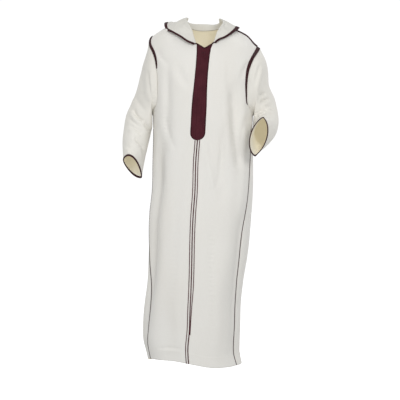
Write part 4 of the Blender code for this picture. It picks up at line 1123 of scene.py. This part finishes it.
def makeArmholeTrim(side):
    left = side == "left"
    yoke = robe["yokeRows"] + 1
    column, behind = (-1, 0) if left else (0, -1)
    rows, widths = armholeRows(frontPoints[:yoke, column], armTrim[side])
    backRows, backWidths = armholeRows(backPoints[:yoke, behind], armTrim["behind"])
    fade = np.exp(-np.arange(len(backWidths)) / armTrim["widthFade"])
    backWidths = backWidths + (widths[0] - backWidths[0]) * fade
    front = edgeStrip(frontGrid, rows[::-1], left, armTrim["inset"], widths[::-1], armTrim["columns"])
    back = edgeStrip(backGrid, backRows[1:], not left, armTrim["inset"], backWidths[1:], armTrim["columns"])
    strip = [np.concatenate(parts) for parts in zip(front, back)]
    return makeBraid("armholeTrim" + side.capitalize(), "armhole_trim_" + side, strip, widths.max(), armTrim)


armholeTrimRight, armholeTrimLeft = [makeArmholeTrim(side) for side in bothSides]

shoulderTrim = {
    "half": 0.0056, "innerX": 0.094, "outerX": 0.0148, "relief": 0.001, "ribs": 3, "pitch": 0.006,
    "lift": 0.0004, "rows": 130, "columns": 13, "blend": 0.006, "neckPower": 1.5, "searchRows": 30,
    # thickness; how far in front of the seam the braid lies, and how much more at the neck
    "right": (0.0026, -0.012, 0.0), "left": (0.006, 0.019, 0.015),
}


def belowRidge(grid, column, distance):
    # a place on a panel a distance down from its top edge
    rows = np.arange(float(shoulderTrim["searchRows"]))
    length = sampleGrid(pathLengths(grid[0][:len(rows) + 2])[..., None], rows, column)[:, 0]
    return onGrid(grid, np.interp(distance, length, rows), column)


def makeShoulderTrim(side):
    # the braid crosses the shoulder seam, or lies just in front of it
    sign, end = (1, -1) if side == "left" else (-1, 0)
    thickness, ahead, neckAhead = shoulderTrim[side]
    outerX = frontPoints[0, end, 0] - sign * shoulderTrim["outerX"]
    x = np.linspace(sign * shoulderTrim["innerX"], outerX, shoulderTrim["rows"])
    forward = ahead + neckAhead * np.linspace(1, 0, len(x))**shoulderTrim["neckPower"]
    frontColumn = columnAtX(frontPoints, x)
    backColumn = columnAtX(backPoints, x)
    points = []
    normals = []
    for k in range(len(x)):
        up = ridgeUp(x[k])
        for across in np.linspace(-1, 1, shoulderTrim["columns"]) * shoulderTrim["half"] - forward[k]:
            grid, column = (frontGrid, frontColumn[k]) if across <= 0 else (backGrid, backColumn[k])
            point, normal = belowRidge(grid, column, abs(across))
            blend = ease(abs(across) / shoulderTrim["blend"])
            points.append(point)
            normals.append(unit(normal * blend + up * (1 - blend)))
    strip = [np.array(part).reshape(len(x), -1, 3) for part in (points, normals)]
    name = "shoulderTrim" + side.capitalize()
    look = dict(shoulderTrim, thickness=thickness)
    return makeBraid(name, "shoulder_trim_" + side, strip, 2 * shoulderTrim["half"], look)


shoulderTrimRight, shoulderTrimLeft = [makeShoulderTrim(side) for side in bothSides]

binding = {
    "gap": 0.0003, "hoodWidth": 0.0088, "cuffWidth": 0.009, "thickness": 0.0038, "pitch": 0.0046,
    "spacing": 0.0012,
    # share along the hood's edge, how much broader the band lies there
    "broader": [(0.0, 1.0), (0.18, 1.0), (0.26, 1.4), (0.33, 1.7), (0.39, 1.1), (0.6, 1.0), (0.65, 1.6),
                (0.71, 2.1), (0.77, 1.5), (0.85, 1.0), (1.0, 1.0)],
}


def makeBinding(name, node, grid, width, closed):
    points, normals = grid
    edge = points[-1]
    run = (np.roll(edge, -1, axis=0) - np.roll(edge, 1, axis=0)) if closed else np.gradient(edge, axis=0)
    outward = np.cross(run, normals[-1])
    outward = unit(outward * np.sign((outward * (edge - points[-2])).sum(axis=1, keepdims=True)))
    places = resampled(edge, binding["spacing"], closed)
    if not closed:
        width = width * smoothAt(binding["broader"], places / (len(edge) - 1))[0]
    outward = unit(alongPath(outward, places, closed))
    directions = unit(alongPath(normals[-1], places, closed))
    middle = alongPath(edge, places, closed) + outward * binding["gap"]
    return makeBound(name, node, middle, outward, directions, width, binding["thickness"],
                     robe["cloth"], closed, binding["pitch"])


hoodTrim = makeBinding("hoodTrim", "hood_trim", hoodGrid, binding["hoodWidth"], False)
cuffTrimRight = makeBinding("cuffTrimRight", "cuff_trim_right", rightSleeveGrid, binding["cuffWidth"], True)
cuffTrimLeft = makeBinding("cuffTrimLeft", "cuff_trim_left", leftSleeveGrid, binding["cuffWidth"], True)

neck = {
    "size": 0.0052, "above": 0.0014, "forward": 0.0024, "firstX": -0.029, "lastX": 0.031,
    "spacing": 0.0011, "points": 60, "beyond": 0.25, "pitch": 0.0036,
    # across, level, radius of each small knot under the notch
    "knots": [(-0.0087, -0.0944, 0.0022), (0.0007, -0.0938, 0.0022), (-0.0046, -0.1036, 0.002)],
    "knotRings": 7, "knotSides": 12, "knotLift": 0.0006, "knotFlat": 0.7, "knotLobe": 0.12,
    "knotLobes": 4, "knotTwist": 5,
}


def makeNeckCord():
    # a round cord over the notch, from one end of the hood's band to the other
    columns = topEdge(frontPoints, neck["firstX"], neck["lastX"], neck["points"])
    line, off = onGrid(frontGrid, 0, columns)
    up = unit(line - sampleGrid(frontPoints, 1, columns))
    line = line + up * neck["above"] + off * neck["forward"]
    corners = hoodGrid[0][-1, [0, -1]]
    ends = corners + (corners - line[[0, -1]]) * neck["beyond"]
    path = np.concatenate([ends[:1], line, ends[1:]])
    places = resampled(path, neck["spacing"])
    path = alongPath(path, places)
    off = unit(alongPath(np.concatenate([off[:1], off, off[-1:]]), places))
    padded = np.concatenate([path[:1], path, path[-1:]])
    path = (padded[:-2] + padded[1:-1] + padded[2:]) / 3
    side = unit(np.cross(np.gradient(path, axis=0), off))
    size = neck["size"]
    return makeBound("neckCord", None, path - side * size / 2, side, off, size, size, 0.0, False,
                     neck["pitch"])


def makeNeckKnots():
    # three small knots of cord on the panel under the notch
    rings, sides = neck["knotRings"], neck["knotSides"]
    tilt = (math.pi * (np.arange(rings) + 0.5) / rings)[:, None]
    turn = (2 * math.pi * np.arange(sides) / sides)[None, :]
    verts = []
    faces = []
    flat = []
    for x, z, radius in neck["knots"]:
        row = rowAtZ(frontPoints, z, half)
        column = np.interp(x, frontPoints[int(row), :, 0], np.arange(frontPoints.shape[1]))
        centre, normal = onGrid(frontGrid, row, column)
        across = unit(np.cross(normal, (0.0, 0.0, 1.0)))
        lobes = np.cos(neck["knotLobes"] * turn + neck["knotTwist"] * tilt)
        wide = radius * np.sin(tilt) * (1 + neck["knotLobe"] * lobes)
        rise = placket["thickness"] + neck["knotLift"] + neck["knotFlat"] * radius * np.cos(tilt)
        knot = centre + rise[..., None] * normal + (wide * np.cos(turn))[..., None] * across
        knot = knot + (wide * np.sin(turn))[..., None] * np.cross(across, normal)
        number = numberGrid(rings, sides, rings * sides * len(verts), around=True)
        verts.append(knot.reshape(-1, 3))
        flat.append(np.stack(np.broadcast_arrays(turn * radius, tilt * radius), axis=-1).reshape(-1, 2))
        faces.append(gridFaces(number))
        for ring in (number[0, :-1], number[-1, -2::-1]):
            for k in range(1, sides // 2):
                faces.append(ring[[k - 1, k, -k - 1, -k]][None, :])
    piece = meshPiece("neckKnots", np.concatenate(verts), np.concatenate(faces), np.concatenate(flat))
    return dress(piece, (darkBraid,), None)


neckCord = makeNeckCord()
neckKnots = makeNeckKnots()
print("robe: braids made")

stitches = {
    "pitch": 0.0034, "length": 0.0024, "thick": 0.00042, "shoulder": 0.55, "turns": (0.2, 0.5, 0.8),
    "hemUp": 0.04, "edgeUp": 0.0035,
    # one bead: its two ends are points 0 and 1
    "faces": [(0, 2, 3), (0, 3, 4), (1, 6, 5), (1, 7, 6), (2, 5, 6), (2, 6, 3), (3, 6, 7), (3, 7, 4)],
}


def stitchRun(line, normals, closed=False):
    # short threads along a line: each is a low six-sided bead with pointed ends
    places = resampled(line, stitches["pitch"], closed)
    points = alongPath(line, places, closed)
    up = unit(alongPath(normals, places, closed)) * stitches["thick"]
    run = unit(np.gradient(points, axis=0)) * stitches["length"] / 2
    side = unit(np.cross(run, up)) * stitches["thick"]
    verts = [points - run, points + run]
    for along in (-stitches["shoulder"], stitches["shoulder"]):
        for turn in stitches["turns"]:
            angle = math.pi * turn
            verts.append(points + run * along + side * math.cos(angle) + up * math.sin(angle))
    return np.stack(verts, axis=1)


def joinStitches(name, runs):
    beads = np.concatenate(runs)
    faces = np.array(stitches["faces"]) + 8 * np.arange(len(beads))[:, None, None]
    verts = beads.reshape(-1, 3)
    piece = meshPiece(name, verts, faces.reshape(-1, 3), verts[:, [0, 2]])
    return dress(piece, (creamThread,), None)


def lineUp(grid, toEdge, up):
    # points and directions along a line a given length up from a piece's last row
    rows = [np.interp(-up, -toEdge[:, c], np.arange(len(toEdge))) for c in range(toEdge.shape[1])]
    return onGrid(grid, np.array(rows), np.arange(toEdge.shape[1], dtype=float))


def besideEdge(grid, up=stitches["edgeUp"]):
    return lineUp(grid, fromLast(pathLengths(grid[0])), up)


hemUp = stitches["hemUp"]
hemLines = [lineUp(frontGrid, frontToHem, hemUp), lineUp(backGrid, backToHem, hemUp),
            besideEdge(rightGusset, hemUp), besideEdge(leftGusset, hemUp)]
cuffRuns = [stitchRun(*besideEdge(grid), closed=True) for grid in (rightSleeveGrid, leftSleeveGrid)]
hemStitches = joinStitches("hemStitches", [stitchRun(*line) for line in hemLines])
cuffStitches = joinStitches("cuffStitches", cuffRuns)
hoodStitches = joinStitches("hoodStitches", [stitchRun(*besideEdge(hoodGrid))])
print("robe: stitching made")

studio = {
    "floorZ": -1.525, "floorSize": 60.0, "floorSides": 96, "floorGlow": 0.72,
    "worldColour": (0.985, 0.995, 1.0, 1), "world": 0.5, "surround": 1.05,
    "cameraPlace": (-0.019, -4.0, -0.7), "halfView": 0.854, "filmWidth": 36.0,
    # place, level of the aim on the robe's middle, size, power
    "lamps": {
        "keyLight": ((1.2, -4.3, 0.9), -0.6, 1.6, 70.0),
        "fillLight": ((-1.7, -4.1, -0.1), -0.8, 2.2, 36.0),
        "topLight": ((0.0, -0.6, 2.6), -0.3, 2.0, 14.0),
        "sideLightRight": ((-3.3, 2.6, 0.5), -0.7, 1.6, 28.0),
        "sideLightLeft": ((3.3, 2.6, 0.5), -0.7, 1.6, 42.0),
    },
}


def makeFloor():
    # a pale round floor, wide enough to reach the horizon
    turns = 2 * math.pi * np.arange(studio["floorSides"]) / studio["floorSides"]
    reach = studio["floorSize"]
    verts = np.array([(reach * math.cos(a), reach * math.sin(a), studio["floorZ"]) for a in turns])
    piece = meshPiece("paleFloor", verts, np.arange(len(verts))[None, :], smooth=False)
    finish = bpy.data.materials.new("paleFloor")
    finish.use_nodes = True
    setInputs(finish.node_tree.nodes["Principled BSDF"], {
        "Base Color": (0.93, 0.93, 0.93, 1), "Roughness": 0.9,
        "Emission Color": (1, 1, 1, 1), "Emission Strength": studio["floorGlow"]})
    piece.data.materials.append(finish)
    piece.visible_diffuse = False


def makeWorld():
    # an even white surround: bright to look at, softer as light
    world = bpy.data.worlds.new("studioWorld")
    world.use_nodes = True
    tree = world.node_tree
    soft = tree.nodes["Background"]
    setInputs(soft, {"Color": studio["worldColour"], "Strength": studio["world"]})
    bright = addNode(tree, "Background", {"Color": grey(1.0), "Strength": studio["surround"]})
    seen = addNode(tree, "LightPath", output="Is Camera Ray")
    mix = addNode(tree, "MixShader", {0: seen, 1: soft.outputs[0], 2: bright})
    tree.links.new(mix, tree.nodes["World Output"].inputs["Surface"])
    bpy.context.scene.world = world


def areaLight(name, place, aimZ, size, power):
    light = bpy.data.lights.new(name, "AREA")
    light.shape = "SQUARE"
    light.size = size
    light.energy = power
    lamp = bpy.data.objects.new(name, light)
    lamp.location = place
    lamp.visible_camera = False
    x, y, z = -place[0], -place[1], aimZ - place[2]
    lamp.rotation_euler = (math.atan2(math.hypot(x, y), -z), 0, math.atan2(y, x) - math.pi / 2)
    bpy.context.scene.collection.objects.link(lamp)


makeFloor()
makeWorld()
for lampName, lampSettings in studio["lamps"].items():
    areaLight(lampName, *lampSettings)

camera = bpy.data.cameras.new("camera")
camera.sensor_width = studio["filmWidth"]
camera.lens = studio["filmWidth"] * -studio["cameraPlace"][1] / (2 * studio["halfView"])
viewer = bpy.data.objects.new("camera", camera)
viewer.location = studio["cameraPlace"]
viewer.rotation_euler = (math.pi / 2, 0, 0)
bpy.context.scene.collection.objects.link(viewer)
bpy.context.scene.camera = viewer
bpy.context.scene.view_settings.view_transform = "Standard"
print("robe: studio ready")
